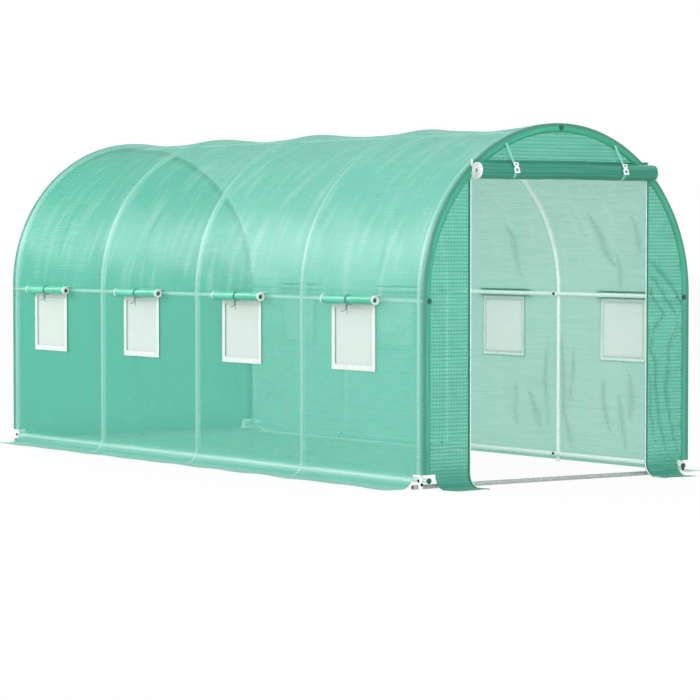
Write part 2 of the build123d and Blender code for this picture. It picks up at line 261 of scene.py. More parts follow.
def film_finish(name, tones, tint, clear, glow, roughness, contrast, pitch, highlight_tones=None, foot=0.0):
    """Woven film. tones are its face, its threads and the painted shade of its folds, and clear is the share
    that is open.
    """
    material, tree = new_finish(name)
    face, thread, deep = [linear(tone) for tone in tones]
    cloth = add(tree, "ShaderNodeUVMap", uv_map="Cloth")
    along, across = thread_mask(tree, cloth, pitch, (0.14, 0.2))
    weak = add(tree, "ShaderNodeMath", {0: along, 1: 0.6}, operation="MULTIPLY")
    threads = add(tree, "ShaderNodeMath", {0: weak, 1: across}, operation="MAXIMUM")
    noise = streaks(tree, cloth, 0.35, 0.014, 2)
    tapes = add(tree, "ShaderNodeMapRange", {"Value": noise, "From Min": 0.42, "From Max": 0.62})
    noise = streaks(tree, cloth, 1.1, 0.45, 3)
    mottle = add(tree, "ShaderNodeMapRange", {"Value": noise, "From Min": 0.3, "From Max": 0.7})
    # Painted shade: where the Fold attribute marks a crease, the colour is darkened towards the fold tone.
    fold = add(tree, "ShaderNodeAttribute", attribute_name="Fold").outputs["Fac"]
    layers = [(mottle, 0.2, thread), (tapes, 0.3, thread), (threads, 0.6, thread), (fold, 0.6, deep)]
    colour = layered(tree, face, [(mask, strength * contrast, tone) for mask, strength, tone in layers])
    open_share = clear
    # Painted shade: near the foot the film is darkened towards the fold tone, and lets less through.
    if foot:
        level = add(tree, "ShaderNodeSeparateXYZ", {0: cloth}).outputs[1]
        low = add(tree, "ShaderNodeMapRange", {"Value": level, "From Min": foot, "From Max": foot * 0.3})
        colour = layered(tree, colour, [(low, 0.7, deep)])
        open_share = thinned(tree, open_share, [(low, 0.4)])
    masks = [(threads, 0.38), (tapes, 0.14), (fold, 0.2)]
    open_share = thinned(tree, open_share, [(mask, 1 - cut * contrast) for mask, cut in masks])
    height = add(tree, "ShaderNodeMath", {0: tapes, 1: 0.8, 2: threads}, operation="MULTIPLY_ADD")
    # The tones given for the tubes paint highlights: a pale line on each tube and pale streaks on creases.
    if highlight_tones:
        colour, open_share, height = paint_film_light(tree, cloth, colour, open_share, height, highlight_tones, deep)
    relief = add(tree, "ShaderNodeBump", {"Height": height, "Distance": 0.0006, "Strength": 0.6})
    feeds = {"Base Color": colour, "Roughness": roughness, "IOR": 1.5, "Normal": relief}
    feeds |= {"Coat Weight": 0.4 if highlight_tones else 0.0, "Coat Roughness": 0.3}
    face_shader = add(tree, "ShaderNodeBsdfPrincipled", feeds)
    back_light = add(tree, "ShaderNodeBsdfTranslucent", {"Color": colour})
    seen_through = add(tree, "ShaderNodeBsdfTransparent", {"Color": linear(tint)})
    solid = add(tree, "ShaderNodeMixShader", {0: glow, 1: face_shader, 2: back_light})
    surface = add(tree, "ShaderNodeMixShader", {0: open_share, 1: solid, 2: seen_through})
    add(tree, "ShaderNodeOutputMaterial", {"Surface": surface})
    return material


# %% [markdown]
# The roof and walls share one film, and the ends another, which is a little greener and shows its grid
# more. The inner faces let through less, and are painted near white, as painted light for their glow.
# The back panel's inner face is painted greener instead, as painted shade, because no light is behind it.

# %% The four faces of the film
film_outside = film_finish(
    "woven_film_on_tubes",
    ("#3FDCC5", "#2CB39B", "#1C9480"),
    "#E2FAF4",
    clear=0.69,
    glow=0.4,
    roughness=0.34,
    contrast=1.0,
    pitch=thread_pitch,
    # Painted highlights: the pale line over each tube, and the pale streaks on the roof's creases.
    highlight_tones=("#C9F1E7", "#D4F6EE"),
)
# Painted light: the inner face is near white, standing for the glow of light through the film.
film_inside = film_finish(
    "woven_film_inner_face",
    ("#F8F5F1", "#D9DEDA", "#A9C4B8"),
    "#FBFFFD",
    clear=0.66,
    glow=0.6,
    roughness=0.5,
    contrast=0.5,
    pitch=thread_pitch,
)
end_outside = film_finish(
    "woven_film_at_ends",
    ("#4CD0B6", "#228C75", "#1A8570"),
    "#D6F8F0",
    clear=0.7,
    glow=0.4,
    roughness=0.36,
    contrast=1.2,
    pitch=end_thread_pitch,
    foot=0.16,
)
# Painted shade: a deeper green copy of the inner face, for the back panel, which has no light behind it.
end_inside = film_finish(
    "end_film_inner_face",
    ("#3ABB9B", "#2C9A7F", "#23826A"),
    "#C8F2E7",
    clear=0.35,
    glow=0.5,
    roughness=0.5,
    contrast=0.5,
    pitch=thread_pitch,
)
print("film threads every", thread_pitch, "m, and every", end_thread_pitch, "m at the ends")

# %% [markdown]
# Where the film is doubled or rolled up, nothing shows through. It is a deeper green, with fine streaks
# along its length from the rolling, and its weave shows as a faint grid. The hem is the same film, with
# painted shade as a darker line along each of its edges, where it rounds over. Tapes and webbings are
# narrow weaves of polyester: they are dull, and their streaks are as wide as a thread.

# %% Doubled film, tapes and webbing
def cloth_finish(name, face, shade, streak, pitch, roughness, sheen=0.0, glow=0.0, edge=None):
    """Cloth with streaks and a weave, on its own UV map in metres, that may glow from behind."""
    material, tree = new_finish(name)
    cloth = add(tree, "ShaderNodeUVMap", uv_map="Cloth")
    lines = streaks(tree, cloth, *streak, 4)
    lined = add(tree, "ShaderNodeMapRange", {"Value": lines, "From Min": 0.35, "From Max": 0.65})
    along, across = thread_mask(tree, cloth, pitch, (0.25, 0.25))
    weave = add(tree, "ShaderNodeMath", {0: along, 1: across}, operation="MAXIMUM")
    colour = layered(tree, linear(face), [(lined, 1, linear(shade)), (weave, 0.35, linear(shade))])
    # Painted shade: a darker line along each edge of the hem.
    if edge:
        depth = add(tree, "ShaderNodeSeparateXYZ", {0: cloth}).outputs[1]
        for low, high, strength in ((0.024, 0.016, 0.9), (0.041, 0.047, 0.8)):
            line = add(tree, "ShaderNodeMapRange", {"Value": depth, "From Min": low, "From Max": high})
            colour = layered(tree, colour, [(line, strength, linear(edge))])
    height = add(tree, "ShaderNodeMath", {0: lines, 1: 3, 2: weave}, operation="MULTIPLY_ADD")
    relief = add(tree, "ShaderNodeBump", {"Height": height, "Distance": 0.0005, "Strength": 0.7})
    feeds = {"Base Color": colour, "Roughness": roughness, "Normal": relief, "Sheen Weight": sheen}
    shader = add(tree, "ShaderNodeBsdfPrincipled", feeds)
    if glow:
        back_light = add(tree, "ShaderNodeBsdfTranslucent", {"Color": colour})
        shader = add(tree, "ShaderNodeMixShader", {0: glow, 1: shader, 2: back_light})
    add(tree, "ShaderNodeOutputMaterial", {"Surface": shader})
    return material


double_film = cloth_finish("doubled_woven_film", "#2A9178", "#1B6E59", (0.8, 0.011), 0.006, 0.38)
flap_film = cloth_finish("rolled_window_film", "#56CDAE", "#2C9E80", (0.5, 0.012), 0.006, 0.36)
hem_film = cloth_finish(
    # Its edge colour is painted shade along both edges of the hem.
    "hem_of_woven_film", "#32AE8A", "#238C6C", (0.5, 0.016), thread_pitch, 0.36, edge="#3A7466"
)
white_tape = cloth_finish(
    "white_polyester_tape", "#FFFFFF", "#F0F4F2", (0.025, 0.16), 0.004, 0.7, sheen=0.15, glow=0.4
)
webbing_streak = (0.0033, 0.25)
green_webbing = cloth_finish(
    "green_polyester_webbing", "#1E7A60", "#12503E", webbing_streak, 0.003, 0.65, sheen=0.2
)
strap_webbing = cloth_finish(
    "mint_polyester_webbing", "#7FD0BA", "#4FAE94", webbing_streak, 0.003, 0.6, sheen=0.2
)
zip_tape = cloth_finish("pale_zip_tape", "#F1F7F4", "#CFE6DC", (0.008, 0.16), 0.003, 0.6, sheen=0.1)

# %% [markdown]
# The netting is knitted from fine polyethylene. From a few metres off its holes run together, and it
# looks like frosted glass. Its mesh is drawn 4 mm wide here, coarser than the real 1.5 mm, to show.

# %% Netting
def net_finish():
    """Fine knitted net: threads that reflect, and holes that let through."""
    material, tree = new_finish("knitted_netting")
    cloth = add(tree, "ShaderNodeUVMap", uv_map="Cloth")
    along, across = thread_mask(tree, cloth, 0.004, (0.34, 0.34))
    threads = add(tree, "ShaderNodeMath", {0: along, 1: across}, operation="MAXIMUM")
    colour = layered(tree, linear("#DCE2DF"), [(threads, 1, linear("#EEF2F0"))])
    relief = add(tree, "ShaderNodeBump", {"Height": threads, "Distance": 0.0004, "Strength": 0.6})
    feeds = {"Base Color": colour, "Roughness": 0.65, "Normal": relief}
    face_shader = add(tree, "ShaderNodeBsdfPrincipled", feeds)
    back_light = add(tree, "ShaderNodeBsdfTranslucent", {"Color": colour})
    solid = add(tree, "ShaderNodeMixShader", {0: 0.5, 1: face_shader, 2: back_light})
    hole = add(tree, "ShaderNodeBsdfTransparent")
    open_share = add(tree, "ShaderNodeMapRange", {"Value": threads, "To Min": 0.3, "To Max": 0.06})
    surface = add(tree, "ShaderNodeMixShader", {0: open_share, 1: solid, 2: hole})
    add(tree, "ShaderNodeOutputMaterial", {"Surface": surface})
    return material


netting = net_finish()
print("netting:", netting.name)

# %% [markdown]
# The tubes are rolled from galvanised strip. Zinc leaves a bright grey skin, a little cloudy, with
# crystals a centimetre or so across. The tubes behind the film are a near-white copy of that steel,
# painted light so that they look lit through the film, and the two rails on the ground, with nothing
# over them, keep the greyer tone of bare metal. Bolts are blackened steel, the buckles moulded
# polypropylene, and the caps on the rails' ends green polyethylene.

# %% Steel and plastic
def hard_finish(name, face, shade, patch, metallic, roughness):
    """Metal or plastic with cloudy patches of one real size, on the piece's own coordinates."""
    material, tree = new_finish(name)
    place = add(tree, "ShaderNodeTexCoord").outputs["Object"]
    cloud = add(tree, "ShaderNodeTexNoise", {"Vector": place, "Scale": 1 / patch, "Detail": 4})
    crystal = add(tree, "ShaderNodeTexVoronoi", {"Vector": place, "Scale": 1 / patch})
    softened = add(tree, "ShaderNodeMath", {0: cloud, 1: 0.6}, operation="MULTIPLY")
    mixed = add(tree, "ShaderNodeMath", {0: crystal, 1: 0.4, 2: softened}, operation="MULTIPLY_ADD")
    patches = add(tree, "ShaderNodeMapRange", {"Value": mixed, "From Min": 0.25, "From Max": 0.7})
    colour = layered(tree, linear(face), [(patches, 1, linear(shade))])
    feeds = {"Value": cloud, "From Min": 0.3, "From Max": 0.7}
    feeds |= {"To Min": roughness - 0.06, "To Max": roughness + 0.08}
    rough = add(tree, "ShaderNodeMapRange", feeds)
    relief = add(tree, "ShaderNodeBump", {"Height": cloud, "Distance": 0.0001, "Strength": 0.4})
    feeds = {"Base Color": colour, "Metallic": metallic, "Roughness": rough, "Normal": relief}
    shader = add(tree, "ShaderNodeBsdfPrincipled", feeds)
    add(tree, "ShaderNodeOutputMaterial", {"Surface": shader})
    return material


# Painted light: the tubes behind the film are a near-white copy of the bare steel below.
galvanised = hard_finish("galvanised_steel", "#FAFBFA", "#E9EDEB", 0.014, 0.2, 0.36)
bare_steel = hard_finish("bare_galvanised_steel", "#C2C7C6", "#9DA4A2", 0.014, 0.6, 0.4)
black_steel = hard_finish("blackened_steel", "#2B2F2E", "#191B1B", 0.004, 0.7, 0.45)
white_plastic = hard_finish("moulded_polypropylene", "#F4F6F4", "#E4E9E6", 0.01, 0.0, 0.34)
green_plastic = hard_finish("moulded_green_polyethylene", "#1F6553", "#144A3B", 0.008, 0.0, 0.42)
print("materials:", len(bpy.data.materials))

# %% [markdown]
# Every piece below is made from arrays of points. One function turns them into a mesh with smooth
# shading and sharp edges where faces meet steeply. A cloth also gets its UV map in metres, and how deep
# each point lies in a fold. Another function hands the piece to the frame.

# %% From points to pieces
def new_piece(name, points, faces, finishes, kinds=None, cloth=None, fold=None):
    """Object at the origin from points and faces, with its materials, a UV map in metres and its folds."""
    mesh = bpy.data.meshes.new(name)
    mesh.from_pydata([tuple(point) for point in points], [], [tuple(face) for face in faces])
    for finish in finishes:
        mesh.materials.append(finish)
    if kinds is not None:
        mesh.polygons.foreach_set("material_index", np.asarray(kinds, np.int32))
    if cloth is not None:
        corners = np.zeros(len(mesh.loops), np.int32)
        mesh.loops.foreach_get("vertex_index", corners)
        places = np.asarray(cloth, np.float32)[corners]
        mesh.uv_layers.new(name="Cloth").data.foreach_set("uv", places.ravel())
    if fold is not None:
        depths = np.asarray(fold, np.float32)
        mesh.attributes.new("Fold", "FLOAT", "POINT").data.foreach_set("value", depths)
    mesh.polygons.foreach_set("use_smooth", [True] * len(mesh.polygons))
    mesh.set_sharp_from_angle(angle=radians(42))
    mesh.update()
    piece = bpy.data.objects.new(name, mesh)
    scene.collection.objects.link(piece)
    return piece


def fit(piece, slot, *nodes):
    """The piece rides on the frame and stands for the named solids, which it hides. slot is not used."""
    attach(piece, "root")
    if nodes:
        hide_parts(*nodes)
    return piece


# %% [markdown]
# Each window's flap is tied up with a thin cord. Its two loose ends hang under the knot and hook
# sideways. Their lines are smooth splines whose control points are the route's own points.

# %% Loose ends of the ties
flap_place = 0.9874
flap_height = 1.02
knot_out = 1.0058
knot_height = 0.98813
long_tail = [(0, 0.003, 0), (0, 0.003, -0.014), (0.003, 0.026, -0.03), (0.002, 0.052, -0.027)]
short_tail = [(0, -0.003, 0), (0, -0.003, -0.014), (0.004, -0.013, -0.038)]
tail_radius = 0.002
knot_half = 0.0055


def tail(name, start, side, route):
    """One loose end of a tie as a smooth spline through its route."""
    data = bpy.data.curves.new(name, "CURVE")
    data.dimensions = "3D"
    data.bevel_depth = tail_radius
    data.bevel_resolution = 3
    data.use_fill_caps = True
    line = data.splines.new("NURBS")
    line.points.add(len(route) - 1)
    for point, (out, along, up) in zip(line.points, route):
        point.co = (start[0] + side * out, start[1] + along, start[2] + up, 1)
    line.order_u = 3
    line.use_endpoint_u = True
    line.resolution_u = 12
    data.materials.append(green_webbing)
    piece = bpy.data.objects.new(name, data)
    scene.collection.objects.link(piece)
    fit(piece, "green_webbing", f"tie_tails_{side_names[side]}")


for side, name in side_names.items():
    for number, middle in enumerate(window_middles[side], start=1):
        under = (side * knot_out, middle, knot_height - knot_half)
        tail(f"tie_long_end_{name}_{number}", under, side, long_tail)
        tail(f"tie_short_end_{name}_{number}", under, side, short_tail)
print("loose ends:", 2 * sum(len(middles) for middles in window_middles.values()))

# %% [markdown]
# A sheet is a grid of points with a second grid a film's thickness behind it, joined round every edge,
# also round the windows. The grid's order sets its outside: first way crossed with second way. Its
# slack shows as soft folds, which are a few sine waves added up, and as single creases. A crease is
# given by the points that it runs through, as (first, second) places, and by its half width.

# %% Thin closed sheets
def gathered_edges(quads):
    """Edges with a face on one side only, in the order in which that face runs along them."""
    starts = quads.ravel()
    ends = np.roll(quads, -1, axis=1).ravel()
    size = quads.max() + 1
    one_way = starts.astype(np.int64) * size + ends
    other_way = ends.astype(np.int64) * size + starts
    alone = ~np.isin(one_way, other_way)
    return starts[alone], ends[alone]


def sheet_shell(name, firsts, seconds, place, thickness, finishes, left_open=None, kind_of=None):
    """Closed thin sheet over a grid, and its flat area. place gives points, UVs and any folds."""
    first, second = np.meshgrid(firsts, seconds, indexing="ij")
    points, cloth, *fold = place(first, second)
    slope_1 = np.gradient(points, axis=0)
    slope_2 = np.gradient(points, axis=1)
    outwards = np.cross(slope_1, slope_2)
    outwards /= np.maximum(np.linalg.norm(outwards, axis=2, keepdims=True), 1e-9)
    behind = points - outwards * thickness
    rows, columns = first.shape
    index = np.arange(rows * columns).reshape(rows, columns)
    corners = [index[:-1, :-1], index[1:, :-1], index[1:, 1:], index[:-1, 1:]]
    quads = np.stack(corners, axis=2).reshape(-1, 4)
    middle_1 = ((first[:-1, :-1] + first[1:, 1:]) / 2).ravel()
    middle_2 = ((second[:-1, :-1] + second[1:, 1:]) / 2).ravel()
    kept = np.ones(len(quads), bool) if left_open is None else ~left_open(middle_1, middle_2)
    quads = quads[kept]
    kinds = np.zeros(len(quads), int) if kind_of is None else kind_of(middle_1[kept], middle_2[kept])
    starts, ends = gathered_edges(quads)
    count = rows * columns
    rim = np.stack([ends, starts, starts + count, ends + count], axis=1)
    faces = np.concatenate([quads, quads[:, ::-1] + count, rim])
    rim_kind = np.full(len(rim), len(finishes) - 1 if kind_of is not None else 0)
    inner_kinds = np.ones(len(quads), int) if kind_of is None else kinds
    all_kinds = np.concatenate([kinds, inner_kinds, rim_kind])
    used, faces = np.unique(faces, return_inverse=True)
    faces = faces.reshape(-1, 4)
    every_point = np.concatenate([points.reshape(-1, 3), behind.reshape(-1, 3)])[used]
    every_uv = np.concatenate([cloth.reshape(-1, 2)] * 2)[used]
    every_fold = np.concatenate([fold[0].ravel()] * 2)[used] if fold else None
    piece = new_piece(name, every_point, faces, finishes, all_kinds, every_uv, every_fold)
    sides = points[1:, :-1] - points[:-1, :-1], points[:-1, 1:] - points[:-1, :-1]
    areas = np.linalg.norm(np.cross(*sides), axis=2).ravel()[kept]
    return piece, float(areas.sum())


def folds(first, second, seed, pitch, lean, spread, count=7):
    """Soft folds of height -1 to 1, about one pitch apart, whose lines lean by an angle."""
    dice = np.random.default_rng(seed)
    total = np.zeros_like(first)
    for _ in range(count):
        turn = lean + dice.uniform(-spread, spread)
        length = pitch * dice.uniform(0.7, 1.6)
        shift = dice.uniform(0, 2 * pi)
        total += np.sin(2 * pi * (first * cos(turn) + second * sin(turn)) / length + shift)
    return total / sqrt(count) / 1.6


def creased(first, second, creases):
    """Depth from 0 to 1 of creases that are widest in their middle and thin out to both ends."""
    deepest = np.zeros_like(first)
    for spots, half_wide in creases:
        nearest = np.full_like(first, 9.0)
        for number, (start, end) in enumerate(zip(spots, spots[1:])):
            run = np.subtract(end, start)
            share = ((first - start[0]) * run[0] + (second - start[1]) * run[1]) / float(run @ run)
            share = np.clip(share, 0, 1)
            away = np.hypot(first - start[0] - share * run[0], second - start[1] - share * run[1])
            taper = 0.25 + 0.75 * np.sin(pi * (number + share) / (len(spots) - 1))
            nearest = np.minimum(nearest, away / (half_wide * taper))
        deepest = np.maximum(deepest, np.exp(-(nearest**2)))
    return deepest


def graded(low, high, step, marks=()):
    """Even places from low to high that also include every mark."""
    spots = np.linspace(low, high, max(2, round((high - low) / step) + 1))
    marks = np.array([mark for mark in marks if low < mark < high])
    if len(marks):
        # A place right beside a mark would make a sliver of a face.
        spots = spots[np.abs(spots[:, None] - marks[None, :]).min(axis=1) > step * 0.35]
    return np.unique(np.concatenate([spots, marks, [low, high]]))


# %% [markdown]
# The roof is one sheet, pulled tight over the hoops. Between them it sinks a little, most at the crown,
# so the skyline waves. Small folds run across it where the pull is uneven. Cloth simulation would give
# such a shape too, but the rule is simple enough to write down, and it comes out the same every time.
# A few creases and swells near its lower edges are placed one by one, along the tunnel and round the arch.

# %% Roof
roof_dip = 0.025
roof_slack = 0.0022


def bay_share(along):
    """How far a place is between its two hoops: 0 over a hoop, 1 in the middle of a bay."""
    share = np.clip((along + frame_end) / bay, 0, 4)
    part = share - np.floor(share)
    return 4 * part * (1 - part)


roof_creases = [
    ([(-0.712, 0.408), (-0.761, 0.352), (-0.737, 0.222), (-0.744, 0.096)], 0.03),
    ([(-1.552, 0.482), (-1.592, 0.394), (-1.603, 0.247), (-1.664, 0.146)], 0.035),
    ([(-1.94, 0.458), (-1.935, 0.351), (-1.899, 0.228)], 0.025),
    ([(-1.698, 0.227), (-1.716, 0.127), (-1.682, 0.007)], 0.025),
    ([(0.43, 0.5), (0.4, 0.3), (0.42, 0.12)], 0.03),
    ([(1.5, 0.45), (1.54, 0.28), (1.5, 0.1)], 0.03),
]
roof_swells = [
    ([(-1.174, 2.597), (-1.257, 2.677), (-1.312, 2.76), (-1.349, 2.9)], 0.03),
    ([(-1.84, 2.64), (-1.849, 2.746), (-1.855, 2.86)], 0.03),
    ([(-0.5, 2.6), (-0.47, 2.75), (-0.5, 2.87)], 0.03),
    ([(0.6, 2.5), (0.63, 2.66), (0.6, 2.85)], 0.035),
    ([(1.7, 2.45), (1.68, 2.6), (1.7, 2.8)], 0.035),
]


def roof_place(along, angle):
    """Points of the roof from places along the tunnel and angles round the arch, with its creases."""
    crease = creased(along, cover * angle, roof_creases)
    swell = creased(along, cover * angle, roof_swells)
    between = bay_share(along)
    dip = roof_dip * between * np.sin(angle) ** 0.85
    edge = np.minimum(1, np.minimum(angle, pi - angle) / 0.15)
    ripple = folds(along, angle, 3, 0.34, radians(62), 0.5) * roof_slack * (0.35 + between) * edge
    reach = cover - dip + ripple - (roof_slack + 0.012 * crease) * edge * between
    reach = reach + 0.004 * swell * edge * between
    points = np.stack([reach * np.cos(angle), along, spring + reach * np.sin(angle)], axis=2)
    return points, np.stack([along, cover * angle], axis=2), crease


roof, roof_area = sheet_shell(
    "roof_film",
    graded(-cover_end, cover_end, 0.022, hoop_places),
    np.linspace(0, pi, 121),
    roof_place,
    film,
    [film_outside, film_inside],
)
fit(roof, "green_film", "roof_cover_1", "roof_cover_2", "roof_cover_3", "roof_cover_4")
print("roof area:", round(roof_area, 2), "m2")

# %% [markdown]
# Each wall hangs from the roof, turns out over the ground, and ends as a skirt to be weighed down with
# soil. A section is drawn as a function of the length down it, and the wall follows that section. The
# left wall is smooth. The right one, which the open door shows, has long creases that lean a little.

# %% Walls
straight_drop = spring - bend - lift
bend_run = bend * pi / 2
wall_skirt = skirt_end - cover - bend
wall_drop = straight_drop + bend_run + wall_skirt


def hung_line(drop, top):
    """How far out and how high a hung sheet is after a length down from its top."""
    straight = top - bend - lift
    turned = np.clip((drop - straight) / bend, 0, pi / 2)
    flat = np.maximum(0, drop - straight - bend_run)
    out = bend * (1 - np.cos(turned)) + flat
    high = np.where(drop < straight, top - drop, lift + bend * (1 - np.sin(turned)))
    return out, high


# Places along the tunnel and down from the wall's top.
wall_creases = {
    -1: [],
    1: [
        ([(-0.707, 0.6), (-0.694, 0.755), (-0.721, 0.87)], 0.014),
        ([(-0.833, 0.63), (-0.899, 0.745), (-0.939, 0.86)], 0.03),
        ([(-1.117, 0.205), (-1.156, 0.488), (-1.164, 0.732), (-1.254, 0.974)], 0.032),
        ([(-1.539, 0.55), (-1.558, 0.712), (-1.595, 0.83)], 0.022),
        ([(-1.671, 0.6), (-1.711, 0.764), (-1.742, 0.94)], 0.022),
        ([(-1.788, 0.5), (-1.807, 0.641), (-1.777, 0.76)], 0.028),
        ([(-1.011, 0.289), (-0.989, 0.535), (-1.016, 0.821)], 0.02),
        ([(-1.276, 0.281), (-1.252, 0.525), (-1.227, 0.688)], 0.016),
        ([(0.06, 0.2), (0.03, 0.5), (0.07, 0.9)], 0.03),
        ([(1.2, 0.25), (1.16, 0.55), (1.2, 0.85)], 0.03),
    ],
}


def wall_sheet(side):
    """Side wall with its windows cut out and the skirt cut away at both corners."""
    middles = window_middles[side]

    def place(along, drop):
        out, high = hung_line(drop, spring)
        hold = np.sin(np.clip(drop / straight_drop, 0, 1) * pi) ** 0.7
        posts = np.abs(np.sin((along + frame_end) / bay * pi)) ** 0.5
        ripple = folds(along, drop, 5 + side, 0.24, radians(8), 0.3) * 0.004 * hold * posts
        skirt = np.clip((drop - straight_drop - bend_run) / wall_skirt, 0, 1)
        wave = (1 + folds(along, drop, 9 + side, 0.5, 0, 0.2)) * 0.0035 * skirt
        crease = creased(along, drop, wall_creases[side])
        slack = ripple - (0.002 + 0.01 * crease) * hold * posts
        points = np.stack([side * (cover + out + slack), along, high + wave], axis=2)
        return points, np.stack([along, -drop], axis=2), crease

    def left_open(along, drop):
        holes = np.zeros(len(along), bool)
        level = (drop > window_top - hidden) & (drop < window_bottom + hidden)
        for middle in middles:
            holes |= (np.abs(along - middle) < window_half + hidden) & level
        return holes | ((np.abs(along) > cover_end - corner_cut) & (drop > straight_drop - 1e-6))

    marks = [m + s * (window_half + hidden) for m in middles for s in (-1, 1)]
    marks += [corner_cut - cover_end, cover_end - corner_cut]
    alongs = graded(-cover_end, cover_end, 0.024, marks)
    levels = [window_top - hidden, window_bottom + hidden, straight_drop, straight_drop + bend_run]
    drops = graded(0, wall_drop, 0.024, levels)
    drops = drops if side < 0 else drops[::-1]
    name = side_names[side]
    finishes = [film_outside, film_inside]
    wall, area = sheet_shell(f"wall_film_{name}", alongs, drops, place, film, finishes, left_open)
    fit(wall, "green_film", f"wall_cover_{name}")
    print("wall area:", round(area, 2), "m2")
    return wall, area


walls = {side: wall_sheet(side) for side in side_names}

# %% [markdown]
# The end panels hang flat inside the arch, and their feet turn out as the walls' do. On the real tunnel
# the panels beside the doorway are slack: long folds run down them, aslant where the zip pulls.

# %% End panels
panel_skirt = panel_skirt_end - cover_end - bend
# Places across the tunnel and up from the ground.
panel_creases = [
    ([(0.63, 1.245), (0.69, 1.21), (0.762, 1.159), (0.83, 1.09), (0.9, 0.99)], 0.014),
    ([(0.635, 1.17), (0.7, 1.125), (0.75, 1.064), (0.8, 1.0), (0.86, 0.93)], 0.014),
    ([(0.63, 1.12), (0.67, 1.06), (0.7, 1.008), (0.789, 0.9)], 0.012),
    (
        [(0.789, 0.93), (0.7, 0.846), (0.676, 0.722), (0.717, 0.626), (0.715, 0.473)]
        + [(0.757, 0.261), (0.81, 0.104)],
        0.014,
    ),
    ([(0.885, 0.871), (0.827, 0.776), (0.81, 0.642), (0.785, 0.509), (0.823, 0.316), (0.88, 0.13)], 0.014),
    ([(0.64, 0.66), (0.68, 0.512), (0.67, 0.379), (0.712, 0.186)], 0.011),
    ([(0.64, 0.9), (0.655, 0.83), (0.64, 0.74)], 0.01),
    ([(-0.35, 1.5), (-0.3, 1.2), (-0.34, 0.9), (-0.3, 0.5)], 0.03),
    ([(0.3, 1.55), (0.36, 1.25), (0.3, 0.95)], 0.03),
    ([(0.05, 0.85), (0.0, 0.55), (0.06, 0.2)], 0.028),
]


def panel_sheet(name, end, low, high, top_of, lowest, folding, seed, lean, *nodes):
    """End panel between two places across, under a top edge, with or without a skirt."""

    def place(across, rise):
        top = top_of(across)
        steps = np.clip(rise, 0, 1)
        foot = np.maximum(0, -rise)
        floor = lowest if lowest > 0.1 else bend + lift
        high_place = floor + steps * (top - floor)
        turned = np.clip(foot / bend, 0, pi / 2)
        flat = np.maximum(0, foot - bend_run)
        out = bend * (1 - np.cos(turned)) + flat
        height = np.where(foot > 0, lift + bend * (1 - np.sin(turned)), high_place)
        hold = np.minimum(1, (top - high_place) / 0.12) * np.minimum(1, np.abs(rise + 0.03) / 0.1)
        side_hold = np.clip(np.minimum(across - low, high - across) / 0.05, 0, 1)
        bulge = folds(across, high_place, seed, 0.11, lean, 0.45) * folding * hold * side_hold
        wave = (1 + folds(across, foot, seed + 1, 0.3, 0, 0.3)) * 0.003 * np.clip(flat / 0.09, 0, 1)
        crease = creased(across, high_place, panel_creases) * hold * side_hold
        forward = end * (cover_end + out + bulge - 0.012 * crease)
        points = np.stack([across, forward, height + wave], axis=2)
        return points, np.stack([across, np.where(foot > 0, floor - foot, high_place)], axis=2), crease

    def left_open(across, rise):
        return (np.abs(across) > panel_side - corner_cut) & (rise < 0)

    tallest = top_of(np.array(0.0 if low < 0 < high else low)) - lowest
    steps = [np.linspace(0, 1, round(tallest / 0.016))]
    if lowest < 0.1:
        steps = [-np.linspace(bend_run + panel_skirt, 0.006, 22), *steps]
    rises = np.unique(np.concatenate(steps))
    acrosses = graded(low, high, 0.012, [corner_cut - panel_side, panel_side - corner_cut])
    if end > 0:
        rises = rises[::-1]
    finishes = [end_outside, end_inside if end > 0 else film_inside]
    panel, area = sheet_shell(name, acrosses, rises, place, film, finishes, left_open)
    fit(panel, "green_film", *nodes)
    print(name, "area:", round(area, 2), "m2")
    return panel, area


def arch_top(across):
    """Height of the arch over a place across."""
    return spring + np.sqrt(np.maximum(panel_side**2 - across**2, 0))


def door_top(across):
    """Top of the panels beside the doorway: the arch, or the level of the door's head."""
    return np.minimum(arch_top(across), door_head)


head_half = sqrt(panel_side**2 - (door_head - spring) ** 2)
left_edges, right_edges = (-panel_side, -door_half), (door_half, panel_side)
head_edges, whole_edges = (-head_half, head_half), (-panel_side, panel_side)
panels = {
    key: panel_sheet(name, end, *edges, top_of, lowest, folding, seed, lean, node)
    for key, name, end, edges, top_of, lowest, folding, seed, lean, node in (
        ("left", "front_film_left", -1, left_edges, door_top, 0, 0.0035, 21, 0.35, "front_panel_left"),
        ("right", "front_film_right", -1, right_edges, door_top, 0, 0.006, 25, -0.5, "front_panel_right"),
        ("top", "front_film_top", -1, head_edges, arch_top, door_head, 0.002, 31, 1.2, "front_panel_top"),
        ("back", "back_film", 1, whole_edges, arch_top, 0, 0.004, 37, 0.2, "back_panel"),
    )
}

# %% [markdown]
# Both ends of the cover are folded over and sewn, which makes a thick band round the arch, a little
# puffed. It is a strip with a lens-shaped section, carried up one side, round the arch and down.

# %% Hems
hem_depth = 0.05
hem_foot = 0.082
hem_puff = 0.0065
hem_length = 2 * (spring - hem_foot) + cover * pi


def outline_point(length, reach):
    """Place across and height after a length along the tunnel's outline, from the left foot."""
    rise = spring - hem_foot
    turn = np.clip((length - rise) / cover, 0, pi)
    past = np.maximum(0, length - rise - cover * pi)
    across = -reach * np.cos(turn)
    height = np.where(length < rise, hem_foot + length, spring + reach * np.sin(turn) - past)
    return across, height


